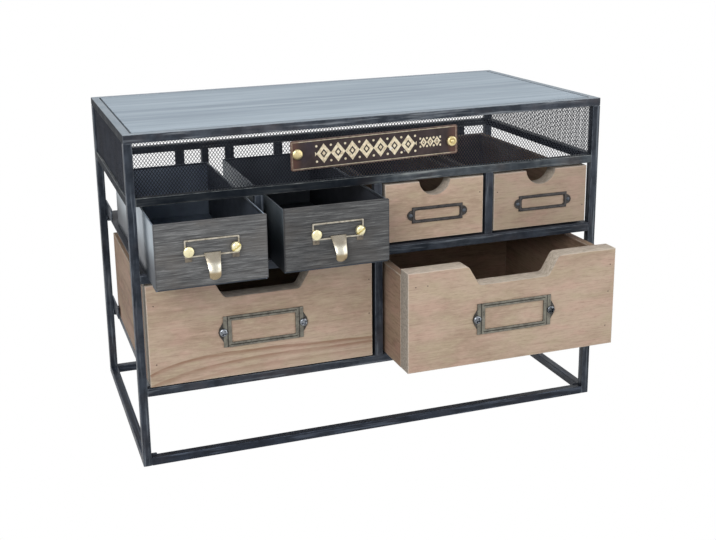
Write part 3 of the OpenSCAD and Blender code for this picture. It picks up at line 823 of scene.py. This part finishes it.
def weld_parts():
    """A bead in each inner corner between the long rails and the posts or dividers."""
    parts = []
    for node in BARS["x"]:
        low, high = ends(node)
        y = high[1] if low[1] < 0 else low[1]
        for x in (-INNER, INNER):
            parts.append(bead_part((x, y, low[2] + BEAD_R), (x, y, high[2] - BEAD_R), x * 7 + low[2]))
    for node in ("base_rail_left", "base_rail_right", "band_rail_left", "band_rail_right"):
        low, high = ends(node)
        x = high[0] if low[0] < 0 else low[0]
        for y in (low[1], high[1]):
            inward = x - math.copysign(BAR * SHORT_BEAD, x)
            parts.append(bead_part((x, y, high[2]), (inward, y, high[2]), y + x))
    for node in DIVIDERS:
        low, high = ends(node)
        for z in (low[2], high[2]):
            parts.append(bead_part((low[0] + BEAD_R, high[1], z), (high[0] - BEAD_R, high[1], z), low[0] + z))
    return parts


build("weld_beads", weld_parts(), steel, "frame", smooth=60)

# %% [markdown]
# ## Top panel and deck
#
# The top panel lies flush inside the rim with a dark groove round it. Its surface waves by a
# few hundredths of a millimetre, as thin sheet does, so that the sheen isn't dead even.

# %% Panels
PANEL_SEED = 3.0
WAVE = 0.02 * MM
GROOVE = 1.6 * MM
SKIN = 1.5 * MM


def panel_part(low, high, cols=96, rows=48):
    """The top sheet as a grid with a skirt.

    It sinks by WAVE times half of 1 + sin(9x + 4y) sin(7y - 3x), with x and y in tenths of a
    metre. A factor that falls to zero at the rim keeps the edges flat.
    """
    u, v = np.meshgrid(np.linspace(0, 1, cols), np.linspace(0, 1, rows))
    x = low[0] + u * (high[0] - low[0])
    y = low[1] + v * (high[1] - low[1])
    rest = np.clip(np.minimum(np.minimum(u, 1 - u) * 12, np.minimum(v, 1 - v) * 6), 0, 1)
    ripple = np.sin((9 * x + 4 * y) / 0.1) * np.sin((7 * y - 3 * x) / 0.1)
    z = high[2] - WAVE - WAVE * rest * (1 + ripple) / 2
    top = np.stack([x, y, z], -1).reshape(-1, 3)
    ring = grid_rim(rows, cols)
    skirt = top[ring]
    skirt[:, 2] = low[2]
    foot = len(top) + np.arange(len(ring))
    faces = grid_faces(rows, cols) + band_faces(foot, ring) + [foot[::-1].tolist()]
    return with_attributes(np.concatenate([top, skirt]), faces, low, high, "x", PANEL_SEED)


panel_low, panel_high = ends("top_panel")
skin_low = np.array([panel_low[0] + GROOVE, panel_low[1] + GROOVE, panel_high[2] - SKIN])
skin_high = panel_high - (GROOVE, GROOVE, 0)
skin = panel_part(skin_low, skin_high)
build("top_skin", [skin], top_sheet(), "frame", ["top_panel"], smooth=30)
backing = box_part(panel_low, panel_high - (0, 0, SKIN), 0.2 * MM, "x", 5.0)
build("top_backing", [backing], steel, "frame", ["top_panel"])

deck_steel = plain_steel("deck_steel", (0.022, 0.026, 0.036), (0.060, 0.062, 0.072), (0.50, 0.65), 0.3, 0.3)
deck = box_part(*ends("deck_panel"), 0.4 * MM, "x", 8.0)
build("deck_sheet", [deck], deck_steel, "frame", ["deck_panel"])


# %% [markdown]
# ## Expanded mesh
#
# Expanded mesh is slit sheet pulled open and rolled flat. Its strands cross in diamonds 3 mm
# wide and 4.1 mm high. The front and the right side are thin, so a slanting look still passes
# through them, while the left side's deeper strands close it. Every strand is one four-sided
# blade between two crossings, and all are made at once in arrays.

# %% Mesh panels
DIAMOND_W = 3.0 * MM
DIAMOND_H = 4.1 * MM
STRAND_W = 0.52 * MM
STRAND_T = {"mesh_front": 0.22 * MM, "mesh_right": 0.10 * MM, "mesh_left": 0.7 * MM}
# How far a blade reaches past its crossings, as a share of its width
OVERLAP = 0.35
# Room for rounding at the ends of a panel
HAIR = 1e-6
# The faces of a blade, by the numbers of its eight corners
BLADE = np.array([[0, 1, 5, 4], [1, 2, 6, 5], [2, 3, 7, 6], [3, 0, 4, 7], [3, 2, 1, 0], [4, 5, 6, 7]])


def mesh_net(width, height, thick):
    """Arrays of the strands of a flat net in (u, v), with depth w, centred on u = 0, v from 0."""
    cols = int(round(width / DIAMOND_W))
    rows = int(round(height / DIAMOND_H))
    pu, pv = width / cols, height / rows
    starts, stops = [], []
    for j in range(rows * 2):
        u0 = -width / 2 + (np.arange(cols + 1) + 0.5 * (j % 2)) * pu
        v0 = j * pv / 2
        for step in (-0.5, 0.5):
            u1 = u0 + step * pu
            ok = np.maximum(np.abs(u0), np.abs(u1)) <= width / 2 + HAIR
            starts.append(np.stack([u0[ok], np.full(ok.sum(), v0)], 1))
            stops.append(np.stack([u1[ok], np.full(ok.sum(), v0 + pv / 2)], 1))
    starts, stops = np.concatenate(starts), np.concatenate(stops)
    way = stops - starts
    way /= np.linalg.norm(way, axis=1, keepdims=True)
    across = np.stack([-way[:, 1], way[:, 0]], 1) * STRAND_W / 2
    reach = way * STRAND_W * OVERLAP
    corners = []
    for middle in (starts - reach, stops + reach):
        for a, d in ((-1, -1), (1, -1), (1, 1), (-1, 1)):
            depth = np.full((len(way), 1), d * thick / 2)
            corners.append(np.hstack([middle + a * across, depth]))
    verts = np.stack(corners, 1).reshape(-1, 3)
    base = np.arange(len(way))[:, None] * len(corners)
    return verts, np.concatenate([base + quad for quad in BLADE])


def mesh_part(node, along):
    """The net of one panel, mapped from (u, v, w) into its CAD box."""
    low, high = ends(node)
    k = 0 if along == "x" else 1
    verts, faces = mesh_net(high[k] - low[k], high[2] - low[2], STRAND_T[node])
    middle = (low + high) / 2
    out = np.empty_like(verts)
    out[:, k] = middle[k] + verts[:, 0]
    out[:, 1 - k] = middle[1 - k] + verts[:, 2]
    out[:, 2] = low[2] + verts[:, 1]
    return with_attributes(out, faces.tolist(), low, high, along, 2.0)


net_steel = plain_steel("mesh_steel", (0.016, 0.018, 0.025), (0.038, 0.042, 0.054), (0.60, 0.75), 0.0, 0.15)
for node, along in (("mesh_front", "x"), ("mesh_left", "y"), ("mesh_right", "y")):
    build(f"{node}_net", [mesh_part(node, along)], net_steel, "frame", [node])


# %% [markdown]
# ## Sign plate and its bolts
#
# The plate is a strip of sheet that hangs a little crooked from two brass bolts, with a nut
# behind each. Its outline is turned about its middle before the paint is laid on, so the
# ornament turns with it. A bolt is round, so a profile of a few points is spun: the left head
# is a plain dome and the right one has a ring and a button.

# %% Sign plate
SIGN_W = 169 * MM
SIGN_H = 28.5 * MM
SIGN_TILT = math.radians(1.1)
SIGN_R = 2 * MM
THREAD_R = 2 * MM
# Radius and height along the nut, and along the ringed head as shares of its size
NUT = ((3.6 * MM, 0), (3.75 * MM, 0.2 * MM), (3.75 * MM, 2.2 * MM), (3.6 * MM, 2.4 * MM))
RINGED = ((0.98, 0.0), (1.0, 0.06), (1.0, 0.45), (0.92, 0.72), (0.78, 0.84), (0.64, 0.80), (0.56, 0.50),
          (0.44, 0.46), (0.38, 0.74), (0.28, 0.94), (0.16, 1.0), (0.05, 1.0))


def dome(radius, height, rim, steps=9):
    """Profile of a domed head: a short straight rim, then an ellipse to the middle."""
    a = np.linspace(0, math.pi / 2, steps + 1)[:-1]
    bulge = np.stack([radius * np.cos(a), height * (rim + (1 - rim) * np.sin(a))], 1)
    return [(radius * 0.98, 0.0), (radius, height * 0.06), *bulge, (radius * 0.05, height)]


sign_low, sign_high = ends("sign_plate")
x, _, z = (sign_low + sign_high) / 2
outline = rounded(x, z, SIGN_W / 2, SIGN_H / 2, SIGN_R)
sign = plate_part([outline], sign_low[1], sign_high[1] - sign_low[1], 0.4 * MM, turn=SIGN_TILT)
build("sign", [sign], sign_paint(SIGN_W, SIGN_H), "frame", ["sign_plate"])

sign_brass = brass("sign_brass", (0.76, 0.66, 0.38), (0.62, 0.50, 0.25), (0.38, 0.28, 0.13))
for node in ("sign_bolt_left", "sign_bolt_right"):
    low, high = ends(node)
    x, _, z = (low + high) / 2
    r, head = (high[0] - low[0]) / 2, sign_low[1] - low[1]
    profile = dome(r, head, 0.45) if node.endswith("left") else np.multiply(RINGED, (r, head))
    parts = [
        turned_part(profile, (x, sign_low[1], z), 40),
        turned_part([(THREAD_R, 0), (THREAD_R, high[1] - sign_low[1])], (x, high[1], z), 24),
        turned_part(NUT, (x, high[1], z), 6),
    ]
    build(f"{node}_turned", parts, sign_brass, "frame", [node], smooth=40)


# %% [markdown]
# ## The wooden drawers
#
# The front is one board with its notch cut in. The small notch is part of a circle. The large is
# a trapezoid whose four corners are rounded: each is an arc that is tangent to both sides, so
# with the slope `a` of the side it takes `r tan(a / 2)` from each of them.

# %% Wood colours
FRONT_TONES = (
    # pale, middle, dark, grey
    (0.468, 0.349, 0.260), (0.353, 0.253, 0.180), (0.205, 0.128, 0.086), (0.580, 0.505, 0.420))
TRAY_TONES = (
    (0.312, 0.215, 0.153), (0.212, 0.136, 0.092), (0.090, 0.052, 0.035), (0.400, 0.350, 0.290))
FLAMES = (
    # start, rise, reach, fall, share
    (0.0115, 0.0170, 0.032, 0.035, 0.75),
    (-0.0010, 0.0210, 0.045, 0.015, 0.65),
    (-0.0060, 0.0180, 0.060, 0.010, 0.30),
)
FRONT_LOOKS = {
    3: dict(shade=1.00, rings=0.10),
    4: dict(shade=0.78, rings=0.16),
    5: dict(shade=0.95, rings=0.20, flames=FLAMES),
    6: dict(shade=0.96, rings=0.10),
}
front_woods = {
    i: wood(f"front_wood_{i}", FRONT_TONES, sawn=0.75, **look) for i, look in FRONT_LOOKS.items()
}
tray_wood = wood("tray_wood", TRAY_TONES, rings=0.35, wear=0.75)

# %% Wooden boxes
SIZES = {3: "small", 4: "small", 5: "large", 6: "large"}
NOTCH_R = 16.5 * MM
NOTCH_UP = 2 * MM
WIDE_FLOOR = 74 * MM
WIDE_TOP = 97 * MM
WIDE_DEEP = 20 * MM
WIDE_R = 6 * MM
EASE = 0.8 * MM
TRAY_WALL = {"small": 6 * MM, "large": 8 * MM}
TRAY_FLOOR = 4 * MM
TRAY_R = 0.6 * MM
JOINT = 0.15 * MM


def small_notch(x, top):
    """An arc about a point NOTCH_UP over the top edge."""
    edge = math.degrees(math.asin(NOTCH_UP / NOTCH_R))
    return arc(x, top + NOTCH_UP, NOTCH_R, -edge, edge - 180, 24)


def large_notch(x, top):
    """The wide notch with its four tangent arcs, from right to left."""
    slope = math.degrees(math.atan2(WIDE_DEEP, (WIDE_TOP - WIDE_FLOOR) / 2))
    cut = WIDE_R * math.tan(math.radians(slope / 2))
    upper = arc(WIDE_TOP / 2 + cut, top - WIDE_R, WIDE_R, 90, 90 + slope)
    lower = arc(WIDE_FLOOR / 2 - cut, top - WIDE_DEEP + WIDE_R, WIDE_R, slope - 90, -90)
    half = upper + lower
    return [(x + u, z) for u, z in half] + [(x - u, z) for u, z in reversed(half)]


def tray_parts(node, board, seed):
    """Two sides, a back between them and a floor, with a hair of a joint between the boards."""
    low, high = ends(node)
    left, right, back = low[0] + board, high[0] - board, high[1] - board
    floor_high = (right - JOINT, back - JOINT, low[2] + TRAY_FLOOR)
    return [
        box_part(low, (left, high[1], high[2]), TRAY_R, "y", seed),
        box_part((right, low[1], low[2]), high, TRAY_R, "y", seed + 1),
        box_part((left + JOINT, back, low[2]), (right - JOINT, high[1], high[2]), TRAY_R, "x", seed + 2),
        box_part((left + JOINT, low[1], low[2]), floor_high, 0.3 * MM, "x", seed + 3),
    ]


for i, size in SIZES.items():
    node = f"{size}_front_{i}"
    (x0, y0, z0), (x1, y1, z1) = ends(node)
    notch = (small_notch if size == "small" else large_notch)((x0 + x1) / 2, z1)
    outline = [(x0, z0), (x1, z0), (x1, z1), *notch, (x0, z1)]
    board = plate_part([outline], y0, y1 - y0, EASE, 10.0 * i, steps=3)
    build(f"{node}_board", [board], front_woods[i], f"drawer_{i}", [node], smooth=25)
    node = f"{size}_tray_{i}"
    boards = tray_parts(node, TRAY_WALL[size], 10.0 * i + 1)
    build(f"{node}_boards", boards, tray_wood, f"drawer_{i}", [node])


# %% [markdown]
# Nail heads hold the fronts on. They lie a fraction of a millimetre proud and are dark with
# rust. Their places are shares of the front's width and height.

# %% Nails
NAIL_R = 0.7 * MM
NAIL_H = 0.22 * MM
NAIL_IN = 0.02 * MM
NAIL_SHARES = {
    3: ((0.035, 0.30), (0.965, 0.72)),
    4: ((0.035, 0.68), (0.965, 0.30)),
    5: ((0.030, 0.80), (0.985, 0.80), (0.985, 0.45), (0.030, 0.22)),
    6: ((0.035, 0.86), (0.090, 0.86), (0.975, 0.84), (0.970, 0.56), (0.962, 0.20)),
}
nail_steel = plain_steel("nail_steel", (0.095, 0.062, 0.044), (0.19, 0.145, 0.11), (0.5, 0.7), 0.4)
for i, shares in NAIL_SHARES.items():
    low, high = ends(f"{SIZES[i]}_front_{i}")
    nails = []
    for across, up in shares:
        x, _, z = low + (high - low) * (across, 0, up)
        nails.append(turned_part(dome(NAIL_R, NAIL_H, 0.3, 4), (x, low[1] + NAIL_IN, z), 14))
    build(f"nails_{i}", nails, nail_steel, f"drawer_{i}", smooth=60)

# %% [markdown]
# ## Card holders
#
# A holder is a stamped plate with a window, and a raised bead frames it. The small ones end in
# round ears with a pin, the large ones in pointed ears with a pan-head screw.

# %% Bronze
bronze, dark_bronze, grey_bronze, plate_bronze = [brass(*look) for look in (
    ("holder_bronze", (0.058, 0.052, 0.050), (0.030, 0.027, 0.028), (0.018, 0.016, 0.017),
     0.42, 300.0, 0.4),
    ("dark_bronze", (0.050, 0.043, 0.038), (0.026, 0.023, 0.022), (0.015, 0.013, 0.013),
     0.45, 300.0, 0.4),
    ("grey_bronze", (0.205, 0.195, 0.160), (0.125, 0.116, 0.096), (0.060, 0.053, 0.045),
     0.34, 300.0, 0.65),
    ("plate_bronze", (0.062, 0.057, 0.050), (0.034, 0.031, 0.027), (0.018, 0.016, 0.014),
     0.40, 300.0, 0.5),
)]
pin_steel = plain_steel("pin_steel", (0.040, 0.046, 0.056), (0.115, 0.130, 0.150), (0.30, 0.45), 0.8)

# %% Small holders
HOLDER_T = 0.9 * MM
EAR_R = 5 * MM
SMALL_RIM = 3.2 * MM
BEAD_IN = 0.3 * MM
BEAD_W = 2.1 * MM
PIN_R = 1.9 * MM
PIN_H = 0.9 * MM
PIN_AT = 0.72 * EAR_R


def small_holder_parts(low, high, seed):
    """The plate with its round ears and window, and the bead that frames the window."""
    x, _, z = (low + high) / 2
    w, h = (high[0] - low[0]) / 2 - EAR_R, (high[2] - low[2]) / 2
    outer = [
        (x - w, z - h), (x + w, z - h), *arc(x + w, z, EAR_R, -90, 90, 14),
        (x + w, z + h), (x - w, z + h), *arc(x - w, z, EAR_R, 90, 270, 14),
    ]
    window = rounded(x, z, w - SMALL_RIM, h - SMALL_RIM, 2.0 * MM)
    plate = plate_part([outer, window], high[1] - HOLDER_T, HOLDER_T, 0.25 * MM, seed)
    rim_out = rounded(x, z, w - BEAD_IN, h - BEAD_IN, 1.2 * MM)
    edge = BEAD_IN + BEAD_W
    rim_in = rounded(x, z, w - edge, h - edge, 1.6 * MM)
    bead = plate_part([rim_out, rim_in], low[1], high[1] - low[1] - HOLDER_T / 2, 0.6 * MM, seed + 1)
    return plate, [bead]


def pin_parts(low, high):
    """The two domed pins in the round ears of a small holder."""
    z = (low[2] + high[2]) / 2
    return [
        turned_part(dome(PIN_R, PIN_H, 0.3), (x, high[1] - HOLDER_T, z), 20)
        for x in (low[0] + PIN_AT, high[0] - PIN_AT)
    ]


# %% Large holders
WIDE_RIM = 4.6 * MM
WIDE_END = 8 * MM
WIDE_EAR_H = 20 * MM
WIDE_EAR_OUT = 4.8 * MM
LIP_W = 1.9 * MM
LIP_END = 4.6 * MM
BLOCK_W = 3.8 * MM
BLOCK_BACK = 0.3 * MM


def large_holder_parts(low, high, seed):
    """The plate with its pointed ears and window, then two raised lips and a block at each end."""
    x, _, z = (low + high) / 2
    w, h = (high[0] - low[0]) / 2 - WIDE_EAR_OUT, (high[2] - low[2]) / 2
    ear, shoulder = WIDE_EAR_H / 2, w + 0.8 * WIDE_EAR_OUT
    tip = [(w, -ear), (shoulder, -0.36 * ear), (w + WIDE_EAR_OUT, 0.0), (shoulder, 0.36 * ear), (w, ear)]
    outer = [
        (x - w, z - h), (x + w, z - h), *[(x + u, z + v) for u, v in tip],
        (x + w, z + h), (x - w, z + h), *[(x - u, z - v) for u, v in tip],
    ]
    window = rounded(x, z, w - WIDE_END, h - WIDE_RIM, 1.0 * MM)
    plate = plate_part([outer, window], high[1] - HOLDER_T, HOLDER_T, 0.3 * MM, seed)
    tall = high[1] - low[1] - HOLDER_T / 2
    raised = []
    for half_w, half_h in ((w - LIP_END, h), (w - WIDE_END + LIP_W, h - WIDE_RIM + LIP_W)):
        lip_out = rounded(x, z, half_w, half_h, 1.0 * MM)
        lip_in = rounded(x, z, half_w - LIP_W, half_h - LIP_W, 0.6 * MM)
        raised.append(plate_part([lip_out, lip_in], low[1], tall, 0.4 * MM, seed + 1))
    for side in (-1, 1):
        block = rounded(x + side * (w - BLOCK_W / 2), z, BLOCK_W / 2, h, 0.8 * MM)
        raised.append(plate_part([block], low[1] + BLOCK_BACK, tall - BLOCK_BACK, 0.4 * MM, seed + 2))
    return plate, raised


# %% Holders on their drawers
for i, size in SIZES.items():
    node, body = f"{size}_holder_{i}", f"drawer_{i}"
    low, high = ends(node)
    if size == "small":
        plate, bead = small_holder_parts(low, high, i)
        build(f"{node}_plate", [plate], dark_bronze, body, [node], smooth=30)
        build(f"{node}_bead", bead, bronze, body, smooth=30)
        build(f"{node}_pins", pin_parts(low, high), pin_steel, body, smooth=40)
    else:
        plate, lips = large_holder_parts(low, high, i)
        build(f"{node}_plate", [plate], plate_bronze, body, [node], smooth=30)
        build(f"{node}_lips", lips, grey_bronze, body, smooth=30)


# %% [markdown]
# The screw has a pan head with a cross recess. The recess is cut into the polar grid of the head:
# a corner nearer the middle than 0.62 of the radius sinks where it lies within the cross.

# %% Screws
HEAD_SHARE = 1.12
HEAD_IN = 0.6 * MM
# Shares of the head's radius: half an arm's width, and how far a cross and a slot reach
ARM_SHARE = 0.17
CROSS_SHARE = 0.62
SLOT_SHARE = 0.85
# Shares of its height: the depth of the recess, and the fall of the dome under the root
CUT_SHARE = 0.62
FALL_SHARE = 0.92
screw_steel = plain_steel("screw_steel", (0.030, 0.034, 0.040), (0.30, 0.32, 0.35), (0.16, 0.28), 0.95)


def screw_part(radius, height, centre, turn, slot=False, rings=14, sides=48):
    """Pan head as a polar grid: the root of 1 - FALL_SHARE r^4, less a cross or a straight slot."""
    r = np.linspace(0.02, 1, rings)[:, None]
    a = np.linspace(0, 2 * math.pi, sides, endpoint=False)
    u, v = np.abs(r * np.cos(a + turn)), np.abs(r * np.sin(a + turn))
    arm = (v if slot else np.minimum(u, v)) < ARM_SHARE
    recess = arm & (np.maximum(u, v) < (SLOT_SHARE if slot else CROSS_SHARE))
    rise = height * (np.sqrt(1 - FALL_SHARE * r ** 4) - CUT_SHARE * recess)
    top = np.stack([radius * r * np.cos(a), -rise, radius * r * np.sin(a)], -1).reshape(-1, 3)
    verts = np.concatenate([top, top[-sides:] * (1, 0, 1)]) + centre
    faces = [face[::-1] for face in tube_faces(rings + 1, sides)[:-1]]
    return with_attributes(verts, faces, verts.min(0), verts.max(0))


for i in (5, 6):
    node = f"large_screws_{i}"
    low, high = ends(node)
    plate_y = ends(f"large_holder_{i}")[0][1]
    z = (low[2] + high[2]) / 2
    r = (high[2] - low[2]) / 2
    heads = [
        screw_part(HEAD_SHARE * r, plate_y - low[1], (x, plate_y + HEAD_IN, z), turn)
        for x, turn in ((low[0] + r, 0.5), (high[0] - r, 1.1))
    ]
    build(f"screw_heads_{i}", heads, screw_steel, f"drawer_{i}", [node], smooth=35)


# %% [markdown]
# ## The dark drawers
#
# A folded sheet box carries a thin grey-stained board. Its outside is bare, its inside has dark
# paint: each wall is two skins of half the thickness. The outside is painted dark towards its bottom
# and the inner sides darker than the back and floor, painted shade, and the second box, its lining
# and its board are darker copies, painted shade. The rim of the box is a hem: the sheet is turned
# over on itself, so the edge is round and twice as thick as the wall.

# %% Sheet boxes and dark fronts
WALL = 1.2 * MM
FLOOR = 2.0 * MM
HEM = 1.0 * MM
HEM_DOWN = 0.2 * MM
SHEET_R = 0.2 * MM
# The second box's sheet is a darker copy of the first, painted shade.
box_steels = {1: folded_sheet("box_steel_1", 1.0), 2: folded_sheet("box_steel_2", 0.5)}
# The second lining is a darker copy of the first, painted shade; both paint their sides deeper, painted
# shade.
shaded_linings = {
    1: box_lining("box_lining_1", (0.320, 0.380, 0.470), (0.048, 0.056, 0.070)),
    2: box_lining("box_lining_2", (0.120, 0.135, 0.155), (0.034, 0.037, 0.045)),
}
# The second board is a darker copy of the grey stain, painted shade.
stain_and_shade = {1: dark_wood("dark_wood_1", 0.95), 2: dark_wood("dark_wood_2", 0.68)}


def wall_parts(low, high, inset, seed):
    """Two sides, a front and a back, each half as thick as the wall, inset from the box's faces."""
    half = WALL / 2
    parts = []
    for x0 in (low[0] + inset, high[0] - inset - half):
        parts.append(box_part((x0, low[1], low[2]), (x0 + half, high[1], high[2]), SHEET_R, "y", seed + x0))
    for y0 in (low[1] + inset, high[1] - inset - half):
        end_low, end_high = (low[0] + WALL, y0, low[2]), (high[0] - WALL, y0 + half, high[2])
        parts.append(box_part(end_low, end_high, SHEET_R, "x", seed + y0))
    return parts


def hem_parts(low, high):
    """The turned edge: three round tubes along the sides and the back."""
    z = high[2] - HEM_DOWN - HEM
    left, right = low[0] + HEM, high[0] - HEM
    front, back = low[1] + HEM, high[1] - HEM
    runs = (((left, front), (left, back)), ((right, front), (right, back)), ((left, back), (right, back)))
    return [tube_part((*start, z), (*end, z), [HEM, HEM], (0.0, 0.0, 1.0), 12) for start, end in runs]


for i in (1, 2):
    node, body = f"dark_box_{i}", f"drawer_{i}"
    low, high = ends(node)
    outside = wall_parts(low, high, 0.0, 4.0 * i) + hem_parts(low, high)
    build(f"{node}_sheet", outside, box_steels[i], body, [node], smooth=50)
    floor_high = (high[0] - WALL, high[1] - WALL, low[2] + FLOOR)
    bottom = box_part(low + (WALL, WALL, 0), floor_high, SHEET_R, "x", 3.0 * i)
    inside = wall_parts(low, high, WALL / 2, 5.0 * i) + [bottom]
    build(f"{node}_lining", inside, shaded_linings[i], body, smooth=50)
    node = f"dark_front_{i}"
    board = box_part(*ends(node), 0.6 * MM, "x", 20.0 + 7 * i, 3)
    build(f"{node}_board", [board], stain_and_shade[i], body, [node])


# %% [markdown]
# ## Brass pulls
#
# A pull is a thin card frame with two bolts, and a tongue that hangs from its lower strip. Along
# the tongue `s` runs from 0 to 1, and across it `t` from -1 to 1. It swings out as a quarter sine
# and turns back a little at the tip, while its width draws in by the same sine and its sides
# bend back:
#
# `swing(s) = sin(90 min(1, 1.25 s))`, `out(s) = d swing(s)`, `w(s) = w0 (1 - 0.32 swing(s))`,
# `bend(t) = b t^2`.

# %% Pulls
pull_brass = brass("pull_brass", (0.56, 0.515, 0.430), (0.33, 0.295, 0.235), (0.17, 0.138, 0.100), fine=240.0)
highlit_tongue_brass = tongue_brass()
tab_brass = brass("tab_brass", (0.19, 0.160, 0.120), (0.11, 0.090, 0.070), (0.05, 0.040, 0.034),
                  0.40, 300.0, 0.5)
bolt_brass = brass("bolt_brass", (0.90, 0.84, 0.56), (0.80, 0.72, 0.44), (0.55, 0.45, 0.25), 0.22)
PULL_H = 16 * MM
PULL_RIM = 1.5 * MM
PULL_T = 1.4 * MM
TAB_W = 6.4 * MM
TAB_H = 14 * MM
TAB_T = 0.8 * MM
TAB_DOWN = 2.6 * MM
TONGUE_W = 15 * MM
TONGUE_OUT = 10 * MM
TONGUE_BOW = 1.2 * MM
TONGUE_TAPER = 0.32
TONGUE_UP = 3 * MM
TONGUE_ROOM = 2.0 * MM
# The tip is round from this share of the way on, down to this share of the width
TIP_START = 0.8
TIP_W = 0.45


def tongue_part(x, y, top, bottom, rows=28, cols=15):
    """The tongue as two skins PULL_T apart, joined round their rim."""
    s = np.linspace(0, 1, rows)[:, None]
    t = np.linspace(-1, 1, cols)
    past_start = np.clip(s - TIP_START, 0, 1)
    tip = TIP_W + (1 - TIP_W) * np.sqrt(np.clip(1 - (past_start / (1 - TIP_START)) ** 2, 0.02, 1))
    swing = np.sin(np.radians(90) * np.minimum(1, s * 1.25))
    half = TONGUE_W / 2 * (1 - TONGUE_TAPER * swing) * tip
    out = TONGUE_OUT * (swing - past_start)
    depth = y - PULL_T / 2 - out + TONGUE_BOW * np.minimum(1, s * 4) * t ** 2
    z = top - s * (top - bottom) + 0 * t
    verts = np.concatenate([
        np.stack([x + half * t, depth + side * PULL_T / 2, z], -1).reshape(-1, 3) for side in (-1, 1)])
    n = rows * cols
    quads = np.array(grid_faces(rows, cols))
    ring = grid_rim(rows, cols)
    faces = quads[:, ::-1].tolist() + (n + quads).tolist() + band_faces(ring, n + ring)
    return with_attributes(verts, faces, verts.min(0), verts.max(0))


for i in (1, 2):
    node, body = f"dark_pull_{i}", f"drawer_{i}"
    low, high = ends(node)
    bolt_low, bolt_high = ends(f"dark_bolts_{i}")
    x, half_w = (low[0] + high[0]) / 2, (high[0] - low[0]) / 2
    z, half_h = high[2] - PULL_H / 2, PULL_H / 2
    outer = rounded(x, z, half_w, half_h, 1.2 * MM)
    inner = rounded(x, z, half_w - PULL_RIM, half_h - PULL_RIM, 0.6 * MM)
    face_y = high[1] - PULL_T
    strip = plate_part([outer, inner], face_y, PULL_T, 0.4 * MM, i)
    build(f"{node}_strip", [strip], pull_brass, body, [node], smooth=35)
    bolt_r = (bolt_high[2] - bolt_low[2]) / 2
    bolt_z = (bolt_low[2] + bolt_high[2]) / 2
    left = (bolt_low[0] + bolt_r, face_y, bolt_z)
    right = (bolt_high[0] - bolt_r, face_y, bolt_z)
    tabs = []
    for bolt_x, _, _ in (left, right):
        tab = rounded(bolt_x, bolt_z - TAB_DOWN, TAB_W / 2, TAB_H / 2, 0.8 * MM)
        tabs.append(plate_part([tab], high[1] - TAB_T, TAB_T, 0.25 * MM, i + 2))
    build(f"{node}_tabs", tabs, tab_brass, body, smooth=35)
    tongue = tongue_part(x, high[1], high[2] - PULL_H + TONGUE_UP, low[2] + TONGUE_ROOM)
    build(f"{node}_tongue", [tongue], highlit_tongue_brass, body, smooth=35)
    rise = face_y - bolt_low[1]
    heads = [
        turned_part(dome(bolt_r, rise, 0.55), left, 40),
        screw_part(bolt_r, rise, right, -0.6, slot=True),
    ]
    build(f"dark_bolts_{i}_turned", heads, bolt_brass, body, [f"dark_bolts_{i}"], smooth=40)


# %% [markdown]
# ## Floor and light
#
# The floor and the surroundings are white to the camera and plain light grey to the light.
# A broad lamp stands to the left of the front, a weaker one to the right, and one overhead.

# %% Floor and surroundings
def seen_ray(tree):
    """One for a ray from the camera, off a glossy face or through glass, zero for all others."""
    path = add_node(tree, "LightPath")
    value = path.outputs["Is Camera Ray"]
    for kind in ("Is Glossy Ray", "Is Transmission Ray"):
        node = add_node(tree, "Math", value, path.outputs[kind])
        node.operation = "MAXIMUM"
        value = node.outputs[0]
    return value


def white_stage(owner, output, room, seen):
    """Fills the node tree of owner: room for the light, seen where the camera or a mirror looks.

    room and seen each hold a kind of node and its values.
    """
    owner.use_nodes = True
    tree = owner.node_tree
    tree.nodes.clear()
    room, seen = add_node(tree, *room), add_node(tree, *seen)
    mix = add_node(tree, "MixShader", seen_ray(tree), room.outputs[0], seen.outputs[0])
    add_node(tree, output, mix.outputs[0])
    return owner


WHITE = (1.0, 1.0, 1.0)
bpy.ops.mesh.primitive_plane_add(size=8.0, location=(0, 0, -0.0005))
floor = bpy.context.object
floor.name = "floor"
floor.data.materials.append(white_stage(
    bpy.data.materials.new("floor_white"), "OutputMaterial",
    ("BsdfDiffuse", (0.75, 0.75, 0.75)), ("Emission", WHITE, 1.0)))
bpy.context.scene.world = white_stage(
    bpy.data.worlds.new("studio"), "OutputWorld",
    ("Background", (0.86, 0.93, 1.0), 0.55), ("Background", WHITE, 1.0))


# %% Lamps
def lamp(name, place, target, size, power):
    """A square area lamp at place that faces target."""
    data = bpy.data.lights.new(name, "AREA")
    data.shape = "SQUARE"
    data.size = size
    data.energy = power
    obj = bpy.data.objects.new(name, data)
    bpy.context.collection.objects.link(obj)
    back = np.subtract(place, target)
    back /= np.linalg.norm(back)
    side = np.cross((0, 0, 1), back)
    side /= np.linalg.norm(side)
    turn = Matrix(np.stack([side, np.cross(back, side), back], 1).tolist())
    obj.matrix_world = Matrix.Translation(place) @ turn.to_4x4()


lamp("key", (-1.5, -1.9, 1.5), (0, 0, 0.15), 1.4, 42)
lamp("fill", (1.9, -1.6, 0.9), (0, 0, 0.15), 1.6, 16)
lamp("top", (0.2, 0.4, 2.4), (0, 0, 0.3), 1.6, 22)

bpy.context.scene.view_settings.view_transform = "Standard"

# %% Finish
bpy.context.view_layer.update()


def plain(box):
    return [[float(v) for v in corner] for corner in box]
